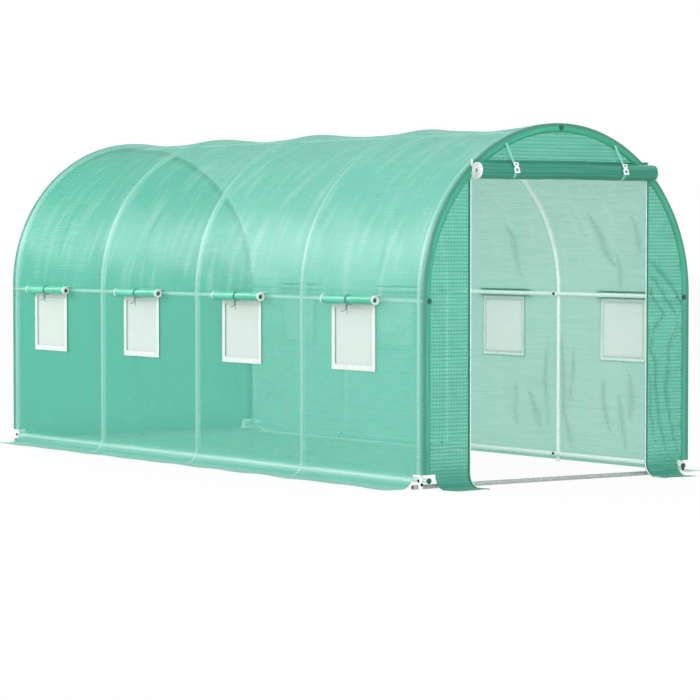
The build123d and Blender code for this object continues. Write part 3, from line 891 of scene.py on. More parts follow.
def hem_band(name, end, node):
    """Puffed band round one end of the cover."""

    def place(length, share):
        across, height = outline_point(length, cover - hem_depth * share)
        puff = hem_puff * np.sin(pi * np.clip(share, 0, 1)) ** 0.6
        wander = folds(length, share, 41, 0.2, 0, 0.1) * 0.0012 * np.sin(pi * share)
        points = np.stack([across, end * (cover_end + 0.0006 + puff + wander), height], axis=2)
        return points, np.stack([length, hem_depth * share], axis=2)

    shares = np.linspace(0, 1, 15)
    shares = shares if end < 0 else shares[::-1]
    lengths = np.linspace(0, hem_length, 260)
    band, _ = sheet_shell(name, lengths, shares, place, 0.0009, [hem_film, hem_film])
    return fit(band, "green_double_film", node)


hems = [hem_band("hem_band_front", -1, "hem_front"), hem_band("hem_band_back", 1, "hem_back")]
print("hems:", [piece.name for piece in hems])

# %% [markdown]
# ## The steel frame
# Every tube is a ring carried along a line. A tube's end is drawn in where it plugs into the next one,
# so its radius changes for a centimetre there. Open ends show the bore.

# %% Tubes along a line
def ring_skin(name, rings, finish):
    """Closed skin over rings of points, each ring turning to the right about the way it goes."""
    rings = np.asarray(rings)
    count, sides = rings.shape[:2]
    index = np.arange(count * sides).reshape(count, sides)
    nxt = np.roll(index, -1, axis=1)
    quads = np.stack([index[:-1], nxt[:-1], nxt[1:], index[1:]], axis=2).reshape(-1, 4)
    faces = [*quads.tolist(), index[0][::-1].tolist(), index[-1].tolist()]
    return new_piece(name, rings.reshape(-1, 3), faces, [finish])


def round_rings(centres, radii, normal, sides=24):
    """Rings round a line that lies in one plane, whose normal is given."""
    centres = np.asarray(centres, float)
    ways = np.gradient(centres, axis=0)
    ways /= np.linalg.norm(ways, axis=1, keepdims=True)
    first = np.tile(np.asarray(normal, float), (len(centres), 1))
    second = np.cross(ways, first)
    turns = np.linspace(0, 2 * pi, sides, endpoint=False)
    spokes = first[:, None] * np.cos(turns)[None, :, None]
    spokes = spokes + second[:, None] * np.sin(turns)[None, :, None]
    return centres[:, None] + spokes * np.asarray(radii)[:, None, None]


def plugged(length, joints, radius, step):
    """Lengths along a tube and its radius at each, drawn in just past every joint."""
    lengths = graded(0, length, step)
    narrow = [(-0.0015, 0), (0, 0.0014), (0.007, 0.0014), (0.011, 0)]
    for joint in joints:
        lengths = lengths[np.abs(lengths - joint) > 0.014]
    extra = [(joint + shift, radius - drawn) for joint in joints for shift, drawn in narrow]
    pairs = sorted([(value, radius) for value in lengths] + extra)
    return np.array([pair[0] for pair in pairs]), np.array([pair[1] for pair in pairs])


def straight_tube(name, start, end, radius, bore, joints, normal, node, finish=None):
    """Open-ended straight tube with plugged joints."""
    start, end = np.asarray(start, float), np.asarray(end, float)
    length = float(np.linalg.norm(end - start))
    way = (end - start) / length
    lengths, radii = plugged(length, joints, radius, 0.12)
    outer = round_rings(start + way * lengths[:, None], radii, normal)
    bore_depth = 0.05
    stations = np.array([0, bore_depth, length - bore_depth, length])
    bores = round_rings(start + way * stations[:, None], [bore] * 4, normal)
    rings = np.concatenate([bores[1:2], bores[0:1], outer, bores[3:4], bores[2:3]])
    return fit(ring_skin(name, rings, finish or galvanised), "steel_tube", node)


# %% [markdown]
# A hoop is five tubes plugged into each other: two posts, two bends and a piece over the crown. Its line
# goes up, round and down at one radius, so one rule gives the whole of it.

# %% Hoops
arch_joints = [pi / 4, pi * 3 / 4]


def hoop_point(length):
    """Point across and up after a length along a hoop, from its left foot."""
    turn = np.clip((length - spring) / hoop_radius, 0, pi)
    past = np.maximum(0, length - spring - hoop_radius * pi)
    height = np.where(length < spring, length, spring + hoop_radius * np.sin(turn) - past)
    return -hoop_radius * np.cos(turn), height


hoop_length = 2 * spring + hoop_radius * pi
hoop_joints = [spring, *[spring + hoop_radius * turn for turn in arch_joints], spring + hoop_radius * pi]
for number, station in enumerate(hoop_places, start=1):
    lengths, radii = plugged(hoop_length, hoop_joints, tube, 0.045)
    across, height = hoop_point(lengths)
    line = np.stack([across, np.full_like(across, station), height], axis=1)
    hoop = ring_skin(f"hoop_{number}_tube", round_rings(line, radii, (0, 1, 0)), galvanised)
    fit(hoop, "steel_tube", f"hoop_{number}_posts", f"hoop_{number}_arch")
print("hoops:", len(hoop_places), "of", round(hoop_length, 2), "m of tube")

# %% [markdown]
# Five rails run the whole length and are plugged near each inner hoop. Two more lie bare on the ground
# between the end hoops' feet.

# %% Rails
rail_end = 2.2857
rail_joints = [place + rail_end + 0.06 for place in hoop_places[1:4]]
for name, across, height in (
    ("ridge_tube", 0, ridge),
    ("waist_rail_left", -rail_side, waist),
    ("waist_rail_right", rail_side, waist),
    ("base_rail_left", -rail_side, base),
    ("base_rail_right", rail_side, base),
):
    ends = (across, -rail_end, height), (across, rail_end, height)
    straight_tube(f"{name}_steel", *ends, tube, tube_bore, rail_joints, (0, 0, 1), name)
cross_half = 0.975
for name, end in (("base_rail_front", -1), ("base_rail_back", 1)):
    ends = (-cross_half, end * cross_place, tube), (cross_half, end * cross_place, tube)
    straight_tube(f"{name}_steel", *ends, tube, tube_bore, [0.99], (0, 0, 1), name, bare_steel)
print("rails: 7")

# %% [markdown]
# The braces are thinner tubes. Their ends are pressed flat and drilled, so the section goes from a flat
# tab to a full circle over a hand's breadth. Each section here is a rounded oval with two half sizes.

# %% Braces
brace_radius = 0.0095
tab_half = 0.014
tab_thick = 0.0015
tab_length = 0.045
round_from = 0.1


def brace_tube(name, low, high, node):
    """Brace with both ends pressed flat and a plugged joint in its middle."""
    low, high = np.asarray(low), np.asarray(high)
    span = float(np.linalg.norm(high - low))
    way = (high - low) / span
    wide = np.cross(way, (1, 0, 0))
    tip = -tab_half * np.cos(np.linspace(0, pi / 2, 7))[:-1]
    lengths = np.concatenate([tip, graded(0, tab_length, 0.015), graded(0.05, 0.09, 0.005)])
    shares = np.clip((lengths - tab_length) / tab_length, 0, 1)
    shares = shares * shares * (3 - 2 * shares)
    halves = tab_half + (brace_radius - tab_half) * shares
    halves = np.where(lengths < 0, np.sqrt(np.maximum(tab_half**2 - lengths**2, 1e-8)), halves)
    thicks = tab_thick + (brace_radius - tab_thick) * shares
    middle, radii = plugged(span - 2 * round_from, [span / 2 - round_from], brace_radius, 0.15)
    stations = np.concatenate([lengths, middle + round_from, (span - lengths)[::-1]])
    halves = np.concatenate([halves, radii, halves[::-1]])
    thicks = np.concatenate([thicks, radii, thicks[::-1]])
    turns = np.linspace(0, 2 * pi, 24, endpoint=False)
    boxy = np.clip(1 - (thicks - tab_thick) / (brace_radius - tab_thick), 0, 1)[:, None]
    power = 1 - 0.5 * boxy
    flat = np.sign(np.cos(turns)) * np.abs(np.cos(turns)) ** power
    deep = np.sign(np.sin(turns)) * np.abs(np.sin(turns)) ** power
    first = np.array((1.0, 0, 0))
    second = np.cross(way, first)
    spokes = first * (deep * thicks[:, None])[:, :, None]
    spokes = spokes + second * (flat * halves[:, None])[:, :, None]
    rings = low + way * stations[:, None, None] + spokes[:, ::-1]
    return fit(ring_skin(name, rings, galvanised), "steel_tube", node)


brace_side = 0.9006
for name, side, foot, head in (
    ("brace_left_front", -1, hoop_places[1], hoop_places[0]),
    ("brace_right_back", 1, hoop_places[4], hoop_places[3]),
):
    brace_tube(f"{name}_steel", (side * brace_side, foot, base), (side * brace_side, head, waist), name)
print("braces: 2")

# %% [markdown]
# ## Rolled film
# The door and the window flaps are rolled up. A real roll is one sheet wound on itself, and its end
# shows the turns, so it is built that way: a sheet whose section is a spiral that ends in a short run
# up to its seam. White binding at the sheet's edges makes the rolls' ends white, and the core in the
# door's roll makes a dark hole in them.

# %% Rolls
def rolled_sheet(
    name, cloth, length, turns, inner, outer, leave, run, run_way, to_place, binding, thickness, seed
):
    """Sheet wound into a spiral roll. to_place turns (along, out, up) into points."""
    steps = int(turns * 30)
    run_steps = 8
    angles = np.linspace(leave - 2 * pi * turns, leave, steps)
    line = np.linspace(inner, outer, steps)[:, None] * np.stack([np.cos(angles), np.sin(angles)], axis=1)
    run_line = line[-1] + np.outer(np.linspace(0, run, run_steps)[1:], run_way)
    line = np.concatenate([line, run_line])
    lengths = np.concatenate([[0], np.cumsum(np.linalg.norm(np.diff(line, axis=0), axis=1))])

    def place(along, rolled):
        out = np.interp(rolled, lengths, line[:, 0])
        up = np.interp(rolled, lengths, line[:, 1])
        on_roll = np.clip((lengths[-run_steps] - rolled) / 0.02, 0, 1)
        slack = 1 + folds(along, rolled, seed, 0.13, 0, 0.15) * 0.02 * on_roll
        stagger = 0.0025 * np.sin(rolled * 9 + seed) * np.clip(np.abs(along / length - 0.5) * 8 - 3, 0, 1)
        points = to_place(along + stagger * np.sign(along - length / 2), out * slack, up * slack)
        return points, np.stack([along, rolled], axis=2)

    def kind_of(along, _):
        return np.where((along < binding) | (along > length - binding), 1, 0)

    alongs = graded(0, length, length / 34, [0.003, binding, length - binding, length - 0.003])
    piece, _ = sheet_shell(name, alongs, lengths, place, thickness, [cloth, white_tape], None, kind_of)
    return piece, float(lengths[-1])


# %% Door roll
roll_place = 2.3373
roll_low, roll_high = -0.628, 0.647
strap_across = 0.39


def door_roll_place(along, out, up):
    """The door's roll lies across the doorway, and hangs a little between its straps."""
    across = roll_high - along
    sag = 0.003 * (1 - np.cos(2 * pi * across / (2 * strap_across))) / 2
    return np.stack([across, out - roll_place, door_head + up - sag], axis=2)


door_length = roll_high - roll_low
door, door_run = rolled_sheet(
    "door_film_roll",
    double_film,
    door_length,
    turns=8,
    inner=0.015,
    outer=0.0465,
    leave=0.0,
    run=0.06,
    run_way=(0, 1),
    to_place=door_roll_place,
    binding=0.012,
    thickness=0.0034,
    seed=51,
)
fit(door, "green_double_film", "door_roll")
core_radius = 0.013
turns = np.linspace(0, 2 * pi, 24, endpoint=False)
core_rings = [
    [(across, core_radius * cos(turn) - roll_place, door_head + core_radius * sin(turn)) for turn in turns]
    for across in (roll_low + 0.012, 0, roll_high - 0.012)
]
core = ring_skin("door_roll_core", core_rings, black_steel)
fit(core, "steel_tube", "door_roll")
print("door sheet:", round(door_run, 2), "m rolled up")

# %% Window flap rolls
flap_length = 0.5
for side, name in side_names.items():
    for number, middle in enumerate(window_middles[side], start=1):

        def flap_roll_place(along, out, up, side=side, middle=middle):
            places = middle + side * (along - flap_length / 2)
            return np.stack([side * (flap_place + out), places, flap_height + up], axis=2)

        flap, flap_run = rolled_sheet(
            f"window_flap_{name}_{number}",
            flap_film,
            flap_length,
            turns=3.25,
            inner=0.0155,
            outer=0.0265,
            leave=pi / 2,
            run=0.032,
            run_way=(-1, 0),
            to_place=flap_roll_place,
            binding=0.011,
            thickness=0.0031,
            seed=60 + number,
        )
        fit(flap, "green_double_film", f"window_flaps_{name}")

# %% [markdown]
# Each window is a piece of netting in a sewn white border. The netting is pulled fairly flat, with a
# slight belly, and the border lies on the film round the hole. The border is padded by its folded
# edges, and its rim is dark green: a painted shadow line round the border.

# %% Windows
border_out = 0.0048
nets, borders = [], []
for side, name in side_names.items():
    for number, middle in enumerate(window_middles[side], start=1):

        def net_place(along, up, side=side, middle=middle, seed=number):
            belly = np.cos(along / 0.37 * pi) * np.cos(up / 0.33 * pi)
            slack = folds(along, up, 70 + seed, 0.16, 0.3, 0.6) * 0.0009
            out = cover - 0.0006 + (slack - 0.003) * belly
            points = np.stack([side * out, middle + along, window_middle_height + up], axis=2)
            return points, np.stack([along + 1, up + 1], axis=2)

        def border_place(along, up, side=side, middle=middle, seed=number):
            puff = 0.0006 * np.sin(np.abs(along) * 60) ** 2
            puff = puff + folds(along, up, 80 + seed, 0.2, 0.8, 0.9) * 0.0005
            out = cover + border_out + puff
            points = np.stack([side * out, middle + along, window_middle_height + up], axis=2)
            return points, np.stack([along + 1, up + 1], axis=2)

        def border_open(along, up):
            return (np.abs(along) < window_half - lap) & (np.abs(up) < window_half_tall - lap)

        wide, tall = window_half + lap, window_half_tall + lap
        levels = graded(-tall, tall, 0.016)
        levels = levels if side > 0 else levels[::-1]
        alongs = graded(-wide, wide, 0.016)
        net_name = f"window_net_{name}_{number}"
        net, _ = sheet_shell(net_name, alongs, levels, net_place, 0.0006, [netting, netting])
        fit(net, "netting", f"window_screens_{name}")
        wide, tall = window_half + border, window_half_tall + border
        levels = graded(-tall, tall, 0.0093, [lap - window_half_tall, window_half_tall - lap])
        levels = levels if side > 0 else levels[::-1]
        edge, edge_area = sheet_shell(
            f"window_border_{name}_{number}",
            graded(-wide, wide, 0.0093, [lap - window_half, window_half - lap]),
            levels,
            border_place,
            0.004,
            # The rim takes the last finish, dark green: a painted shadow line round the border.
            [white_tape, white_tape, green_webbing],
            border_open,
            lambda along, up: np.zeros(len(along), int),
        )
        fit(edge, "netting", f"window_screens_{name}")
        nets.append(net)
        borders.append((edge, edge_area))
print("windows:", len(nets))

# %% [markdown]
# ## Ties, straps and buckles
# Flat cord and webbing are strips carried along a line. A tie's knot is a small closed loop that passes
# over and under itself: the line of a trefoil, with a round section, squeezed to the knot's size.

# %% Ties and knots
def trefoil(size):
    """Closed line of a trefoil knot that fits in a small cube, as a tube's centres."""
    turns = np.linspace(0, 2 * pi, 49)[:-1]
    out = np.sin(turns) + 2 * np.sin(2 * turns)
    along = np.cos(turns) - 2 * np.cos(2 * turns)
    return np.stack([out, along, -np.sin(3 * turns)], axis=1) * size / 6


def loop_skin(name, centres, half_wide, half_thick, wide_way, finish):
    """Closed loop with an oval section, its wide way held as near as possible to one direction."""
    ways = np.roll(centres, -1, axis=0) - np.roll(centres, 1, axis=0)
    ways /= np.linalg.norm(ways, axis=1, keepdims=True)
    wide = np.tile(np.asarray(wide_way, float), (len(centres), 1))
    wide -= ways * np.sum(wide * ways, axis=1, keepdims=True)
    wide /= np.linalg.norm(wide, axis=1, keepdims=True)
    thick = np.cross(ways, wide)
    turns = np.linspace(0, 2 * pi, 10, endpoint=False)
    ring = wide[:, None] * np.cos(turns)[None, :, None] * half_wide
    ring = ring + thick[:, None] * np.sin(turns)[None, :, None] * half_thick
    points = centres[:, None] + ring
    count, sides = points.shape[:2]
    index = np.arange(count * sides).reshape(count, sides)
    after = np.roll(index, -1, axis=0)
    quads = np.stack([index, np.roll(index, -1, axis=1), np.roll(after, -1, axis=1), after], axis=2)
    lengths = np.concatenate([[0], np.cumsum(np.linalg.norm(np.diff(centres, axis=0), axis=1))])
    cloth = np.stack(np.meshgrid(turns / (2 * pi) * half_wide * 3, lengths), axis=2).reshape(-1, 2)
    return new_piece(name, points.reshape(-1, 3), quads.reshape(-1, 4), [finish], None, cloth)


tie_radius = 0.0292
turns = np.linspace(0, 2 * pi, 60, endpoint=False)
for side, name in side_names.items():
    for number, middle in enumerate(window_middles[side], start=1):
        out = side * (flap_place + tie_radius * np.cos(turns))
        along = middle + 0.003 * np.cos(turns)
        ring = np.stack([out, along, flap_height + tie_radius * np.sin(turns)], axis=1)
        tie_name = f"window_tie_{name}_{number}"
        tie = loop_skin(tie_name, ring, 0.0042, 0.0013, (0, 1, 0), green_webbing)
        fit(tie, "green_webbing", f"window_ties_{name}")
        knot_line = trefoil(2 * knot_half) + np.array((side * knot_out, middle, knot_height))
        knot_name = f"tie_knot_{name}_{number}"
        knot = loop_skin(knot_name, knot_line, 0.0022, 0.0018, (1, 0.3, 0.2), green_webbing)
        fit(knot, "green_webbing", f"window_ties_{name}")
print("ties:", len(nets))

# %% [markdown]
# Each door strap is one length of webbing. It starts under the hem, slants out to the roll, goes down
# and round it, and comes up behind. Its side view is a line with an arc in it, worked out from where a
# straight line from the hem touches the roll.

# %% Door straps
strap_half = 0.009
strap_lay = 2.29105
strap_turn = 0.04805
strap_top = 1.909
kink = np.array((-strap_lay, strap_top - 0.02))
roll_middle = np.array((-roll_place, door_head))
offset = kink - roll_middle
lean = atan2(offset[1], offset[0]) + acos(strap_turn / float(np.hypot(*offset)))
arc = np.linspace(lean, 2 * pi, 48)
round_roll = roll_middle + strap_turn * np.stack([np.cos(arc), np.sin(arc)], axis=1)
strap_line = np.concatenate(
    [
        np.linspace((-strap_lay, strap_top), kink, 4)[:-1],
        np.linspace(kink, round_roll[0], 16)[:-1],
        round_roll,
        np.linspace(round_roll[-1], round_roll[-1] + (0, 0.068), 10)[1:],
    ]
)
strap_lengths = np.concatenate([[0], np.cumsum(np.linalg.norm(np.diff(strap_line, axis=0), axis=1))])


def door_strap(name, across, node):
    """Webbing from the hem down, round the roll and up behind it."""

    def place(share, length):
        forward = np.interp(length, strap_lengths, strap_line[:, 0])
        height = np.interp(length, strap_lengths, strap_line[:, 1])
        points = np.stack([across + share, forward, height], axis=2)
        return points, np.stack([share + 1, length], axis=2)

    shares = np.linspace(strap_half, -strap_half, 9)
    strap, _ = sheet_shell(name, shares, strap_lengths, place, 0.0013, [strap_webbing, strap_webbing])
    return fit(strap, "green_webbing", node)


for side, name in side_names.items():
    door_strap(f"door_strap_{name}_web", side * strap_across, f"door_strap_{name}")
print("strap length:", round(float(strap_lengths[-1]), 3))

# %% [markdown]
# A buckle is two moulded halves: a socket with open sides, and a fork whose prongs show in them. It is
# put together from bevelled bars, all of one moulding colour, on the slope of the roll's front.

# %% Buckles
def bars_mesh(name, bars, origin, ways, finish, bevel):
    """Bars given as (x, y, z, width, height, depth) in a slanted frame, bevelled and joined."""
    points, faces = [], []
    around = [(-1, -1), (1, -1), (1, 1), (-1, 1)]
    corners = [(*corner, level) for level in (-1, 1) for corner in around]
    sides = [(3, 2, 1, 0), (4, 5, 6, 7), (0, 1, 5, 4), (1, 2, 6, 5), (2, 3, 7, 6), (3, 0, 4, 7)]
    for x, y, z, width, height, depth in bars:
        start = len(points)
        for cx, cy, cz in corners:
            local = np.array((x + cx * width / 2, y + cy * height / 2, z + cz * depth / 2))
            points.append(origin + local @ ways)
        faces += [[start + corner for corner in face] for face in sides]
    piece = new_piece(name, points, faces, [finish])
    rounding = piece.modifiers.new("rounding", "BEVEL")
    rounding.width = bevel
    rounding.segments = 3
    return piece


buckle_tilt = radians(165)
buckle_out = np.array((0, cos(buckle_tilt), sin(buckle_tilt)))
buckle_up = np.array((0, -buckle_out[2], buckle_out[1]))
buckle_up *= np.sign(buckle_up[2])
buckle_ways = np.stack([np.array((1.0, 0, 0)), buckle_up, buckle_out])
if np.linalg.det(buckle_ways) < 0:
    buckle_ways[0] *= -1
buckle_bars = [
    (0, 0.0275, 0.0045, 0.03, 0.005, 0.008),
    (0, 0.0125, 0.0045, 0.03, 0.005, 0.008),
    (-0.0125, 0.02, 0.0045, 0.005, 0.012, 0.007),
    (0.0125, 0.02, 0.0045, 0.005, 0.012, 0.007),
    (0, 0.006, 0.0045, 0.015, 0.01, 0.009),
    (0, -0.001, 0.0045, 0.03, 0.006, 0.009),
    (-0.0145, -0.013, 0.0045, 0.005, 0.02, 0.007),
    (0.0145, -0.013, 0.0045, 0.005, 0.02, 0.007),
    (0, -0.026, 0.0045, 0.034, 0.008, 0.008),
]
buckle_middle_out = 0.0491
for side, name in side_names.items():
    origin = np.array((side * strap_across, -roll_place, door_head)) + buckle_out * buckle_middle_out
    buckle_name = f"door_buckle_{name}_moulding"
    buckle = bars_mesh(buckle_name, buckle_bars, origin, buckle_ways, white_plastic, 0.0011)
    fit(buckle, "buckle_plastic", f"door_buckle_{name}")
print("buckle bars:", len(buckle_bars))

# %% [markdown]
# ## Zips
# A zip runs down each edge of the doorway and out along the foot of the panel. Its tape is a strip that
# follows the panel's own section, and its coil of teeth comes from the Geometry Nodes below.

# %% Zip tapes
zip_top = 1.6779
zip_width = 0.02
zip_white = 0.006
zip_drop = zip_top - bend - lift + bend_run + panel_skirt


def zip_strip(name, low, high, node):
    """Strip of zip tape on one edge of the doorway, white at the open edge and green beyond it."""

    def place(across, drop):
        out, height = hung_line(drop, zip_top)
        raised = height + 0.0016 * np.clip(out / bend, 0, 1)
        points = np.stack([across, -(cover_end + 0.0016 + out), raised], axis=2)
        return points, np.stack([across + 2, -drop], axis=2)

    def kind_of(across, _):
        return np.where(np.abs(across) < door_half + zip_white, 0, 1)

    bend_drops = np.linspace(zip_top - bend - lift, zip_drop, 30)
    drops = np.unique(np.concatenate([graded(0, zip_drop, 0.02), bend_drops]))[::-1]
    acrosses = graded(low, high, 0.003, [np.sign(low) * (door_half + zip_white)])
    strip, _ = sheet_shell(name, acrosses, drops, place, 0.0012, [zip_tape, end_outside], None, kind_of)
    return fit(strip, "zip_tape", node)


zip_strip("door_zip_left_tape", -door_half - zip_width, -door_half, "door_zip_left")
zip_strip("door_zip_right_tape", door_half, door_half + zip_width, "door_zip_right")
print("zip length:", round(zip_drop, 2))

# %% [markdown]
# ## What repeats
# Stitches, zip teeth and bolts repeat by the hundred, so Geometry Nodes place them. One tree puts small
# blocks along any line, and another puts a washer and a six-sided head on every point of a mesh.

# %% A tree that puts blocks along a line
def new_tree(name, sizes):
    """Geometry tree with named sizes, a material, and its way in and out."""
    tree = bpy.data.node_groups.new(name, "GeometryNodeTree")
    sockets = tree.interface
    sockets.new_socket("Geometry", in_out="INPUT", socket_type="NodeSocketGeometry")
    for label, value in sizes.items():
        sockets.new_socket(label, in_out="INPUT", socket_type="NodeSocketFloat").default_value = value
    sockets.new_socket("Material", in_out="INPUT", socket_type="NodeSocketMaterial")
    sockets.new_socket("Geometry", in_out="OUTPUT", socket_type="NodeSocketGeometry")
    return tree, add(tree, "NodeGroupInput").outputs


def end_tree(tree, instances, material):
    """Real geometry with its material, as the tree's result."""
    real = add(tree, "GeometryNodeRealizeInstances", {"Geometry": instances})
    dressed = add(tree, "GeometryNodeSetMaterial", {"Geometry": real, "Material": material})
    add(tree, "NodeGroupOutput", {"Geometry": dressed})
    return tree


def blocks_tree():
    """Blocks at even spacing along the lines of a mesh."""
    sizes = {"Spacing": 0.01, "Length": 0.006, "Width": 0.0015, "Height": 0.001}
    tree, given = new_tree("blocks_along_a_line", sizes)
    line = add(tree, "GeometryNodeMeshToCurve", {"Mesh": given["Geometry"]})
    even = add(tree, "GeometryNodeResampleCurve", {"Curve": line, "Length": given["Spacing"]}, mode="LENGTH")
    size = add(tree, "ShaderNodeCombineXYZ", {0: given["Length"], 1: given["Width"], 2: given["Height"]})
    block = add(tree, "GeometryNodeMeshCube", {"Size": size})
    way = add(tree, "GeometryNodeInputTangent")
    turn = add(tree, "FunctionNodeAlignRotationToVector", {"Vector": way}, axis="X")
    placed = add(tree, "GeometryNodeInstanceOnPoints", {"Points": even, "Instance": block, "Rotation": turn})
    return end_tree(tree, placed, given["Material"])


# %% A tree that puts a bolt on every point
def bolts_tree():
    """Washer and six-sided head on every point, standing along the point's own axis."""
    sizes = {"Head Radius": 0.0065, "Head Height": 0.0045, "Washer Radius": 0.009, "Washer Height": 0.0015}
    tree, given = new_tree("bolts_on_points", sizes)
    parts = []
    for part, sides, rests_on in (("Washer", 20, 0.0), ("Head", 6, given["Washer Height"])):
        radius, height = given[f"{part} Radius"], given[f"{part} Height"]
        body = add(tree, "GeometryNodeMeshCylinder", {"Vertices": sides, "Radius": radius, "Depth": height})
        middle = add(tree, "ShaderNodeMath", {0: height, 1: 0.5, 2: rests_on}, operation="MULTIPLY_ADD")
        shift = add(tree, "ShaderNodeCombineXYZ", {2: middle})
        parts.append(add(tree, "GeometryNodeTransform", {"Geometry": body, "Translation": shift}))
    bolt = add(tree, "GeometryNodeJoinGeometry")
    for part in reversed(parts):
        tree.links.new(part.outputs[0], bolt.inputs[0])
    axis = add(tree, "GeometryNodeInputNamedAttribute", {"Name": "axis"}, data_type="FLOAT_VECTOR")
    turn = add(tree, "FunctionNodeAlignRotationToVector", {"Vector": axis}, axis="Z")
    feeds = {"Points": given["Geometry"], "Instance": bolt, "Rotation": turn}
    placed = add(tree, "GeometryNodeInstanceOnPoints", feeds)
    return end_tree(tree, placed, given["Material"])


# %% [markdown]
# A tree only works on an object, so a seed mesh of bare points and lines carries it. The result is
# copied out as a plain mesh, and the seed is thrown away.

# %% Run a tree on lines or points
def grown(name, tree, points, lines, axes, values, slot):
    """Plain mesh that a tree makes from points, and lines between them, handed to the frame."""
    mesh = bpy.data.meshes.new(name + "_seed")
    mesh.from_pydata([tuple(point) for point in points], lines, [])
    if axes is not None:
        layer = mesh.attributes.new("axis", "FLOAT_VECTOR", "POINT")
        layer.data.foreach_set("vector", np.asarray(axes, np.float32).ravel())
    seed = bpy.data.objects.new(name + "_seed", mesh)
    scene.collection.objects.link(seed)
    maker = seed.modifiers.new("maker", "NODES")
    maker.node_group = tree
    for item in tree.interface.items_tree:
        if item.item_type == "SOCKET" and item.in_out == "INPUT" and item.name in values:
            maker[item.identifier] = values[item.name]
    depsgraph = bpy.context.evaluated_depsgraph_get()
    made = bpy.data.meshes.new_from_object(seed.evaluated_get(depsgraph), depsgraph=depsgraph)
    seed.modifiers.remove(maker)
    bpy.data.objects.remove(seed)
    made.name = name
    piece = bpy.data.objects.new(name, made)
    scene.collection.objects.link(piece)
    print(name, "faces:", len(made.polygons))
    return fit(piece, slot)


def chain(lines):
    """Points and edges of several open lines in one list."""
    points, edges = [], []
    for line in lines:
        start = len(points)
        points += [tuple(point) for point in line]
        edges += [(start + step, start + step + 1) for step in range(len(line) - 1)]
    return points, edges


blocks = blocks_tree()
bolts = bolts_tree()

# %% [markdown]
# Stitches are drawn 14 mm apart, coarser than the real 4 mm, to show as a dotted line. The window
# borders and both hems are sewn along both of their edges.

# %% Stitches
def window_seam(side, middle, inset):
    """Closed rectangle round a window, at a distance from the border's outer edge."""
    wide, tall = window_half + border - inset, window_half_tall + border - inset
    out = side * (cover + stitch_out)
    corners = [(-1, -1), (1, -1), (1, 1), (-1, 1), (-1, -1)]
    return [(out, middle + wide * a, window_middle_height + tall * b) for a, b in corners]


stitch_out = 0.0061
stitch = {"Spacing": 0.014, "Length": 0.008, "Width": 0.0012, "Height": 0.0012}
white_stitch = {**stitch, "Material": zip_tape}
green_stitch = {**stitch, "Material": green_webbing}
for side, name in side_names.items():
    seams = [window_seam(side, middle, inset) for middle in window_middles[side] for inset in (0.004, 0.022)]
    grown(f"window_stitches_{name}", blocks, *chain(seams), None, white_stitch, "netting")

for name, end in (("front", -1), ("back", 1)):
    seams = []
    for share in (0.1, 0.9):
        lengths = np.linspace(0.02, hem_length - 0.02, 240)
        across, height = outline_point(lengths, cover - hem_depth * share)
        out = end * (cover_end + 0.0008 + hem_puff * sin(pi * share) ** 0.6)
        seams.append(np.stack([across, np.full_like(across, out), height], axis=1))
    grown(f"hem_stitches_{name}", blocks, *chain(seams), None, green_stitch, "green_webbing")

# %% [markdown]
# The zip's coil is a row of small nylon loops, here 7 mm apart, along the open edge of each tape.

# %% Zip teeth
teeth = {"Spacing": 0.007, "Length": 0.0042, "Width": 0.0034, "Height": 0.0034, "Material": white_plastic}
teeth_end = zip_drop - 0.004
for side, name in side_names.items():
    drops = np.concatenate([np.linspace(0, teeth_end, 60), np.linspace(zip_top - bend, teeth_end, 30)])
    out, height = hung_line(np.unique(drops), zip_top)
    raised = height + 0.0026 * np.clip(out / bend, 0, 1)
    across = np.full_like(out, side * (door_half + 0.004))
    line = np.stack([across, -(cover_end + 0.0024 + out), raised], axis=1)
    grown(f"zip_teeth_{name}", blocks, *chain([line]), None, teeth, "zip_tape")

# %% [markdown]
# Bolts join each rail to each hoop, with the head inside the tunnel, and more hold the feet at the
# corners. Screws hold the plugged joints of the bends. At both ends of the tunnel the rails' ends wear
# green caps, and one more sits on the hem at the crown.

# %% Bolts, caps and screws
def bolted(name, spots, values, slot):
    """Bolts of one size on spots, each given as a place and the way in which the head points."""
    places, axes = zip(*spots)
    grown(name, bolts, places, [], axes, values, slot)


sides, ends = (-1, 1), (-1, 1)
rail_side_in = rail_side - tube
frame_spots = []
for station in hoop_places:
    for side in sides:
        for height in (waist, base):
            frame_spots.append(((side * rail_side_in, station, height), (-side, 0, 0)))
    frame_spots.append(((0, station, ridge - tube), (0, 0, -1)))
bolted("frame_bolts", frame_spots, {"Material": black_steel}, "steel_tube")

corner_spots = []
for end in ends:
    station = end * frame_end
    for side in sides:
        corner_spots.append(((side * (hoop_radius + tube), station, base), (side, 0, 0)))
        corner_spots.append(((side * hoop_radius, station + end * tube, 0.028), (0, end, 0)))
for end in ends:
    for across in (-0.72, 0.0, 0.72):
        corner_spots.append(((across, end * (cross_place - tube), tube), (0, -end, 0)))
bolted("corner_bolts", corner_spots, {"Material": black_steel, "Head Height": 0.0035}, "steel_tube")

cap = {"Washer Radius": 0.016, "Washer Height": 0.003, "Head Radius": 0.009, "Head Height": 0.003}
cap_spots = []
for end in ends:
    for side in sides:
        for height in (waist, base):
            cap_spots.append(((side * rail_side, end * 2.2935, height), (0, end, 0)))
    cap_spots.append(((0, end * 2.2945, 1.976), (0, end, 0)))
bolted("rail_end_caps", cap_spots, {"Material": green_plastic, **cap}, "green_double_film")

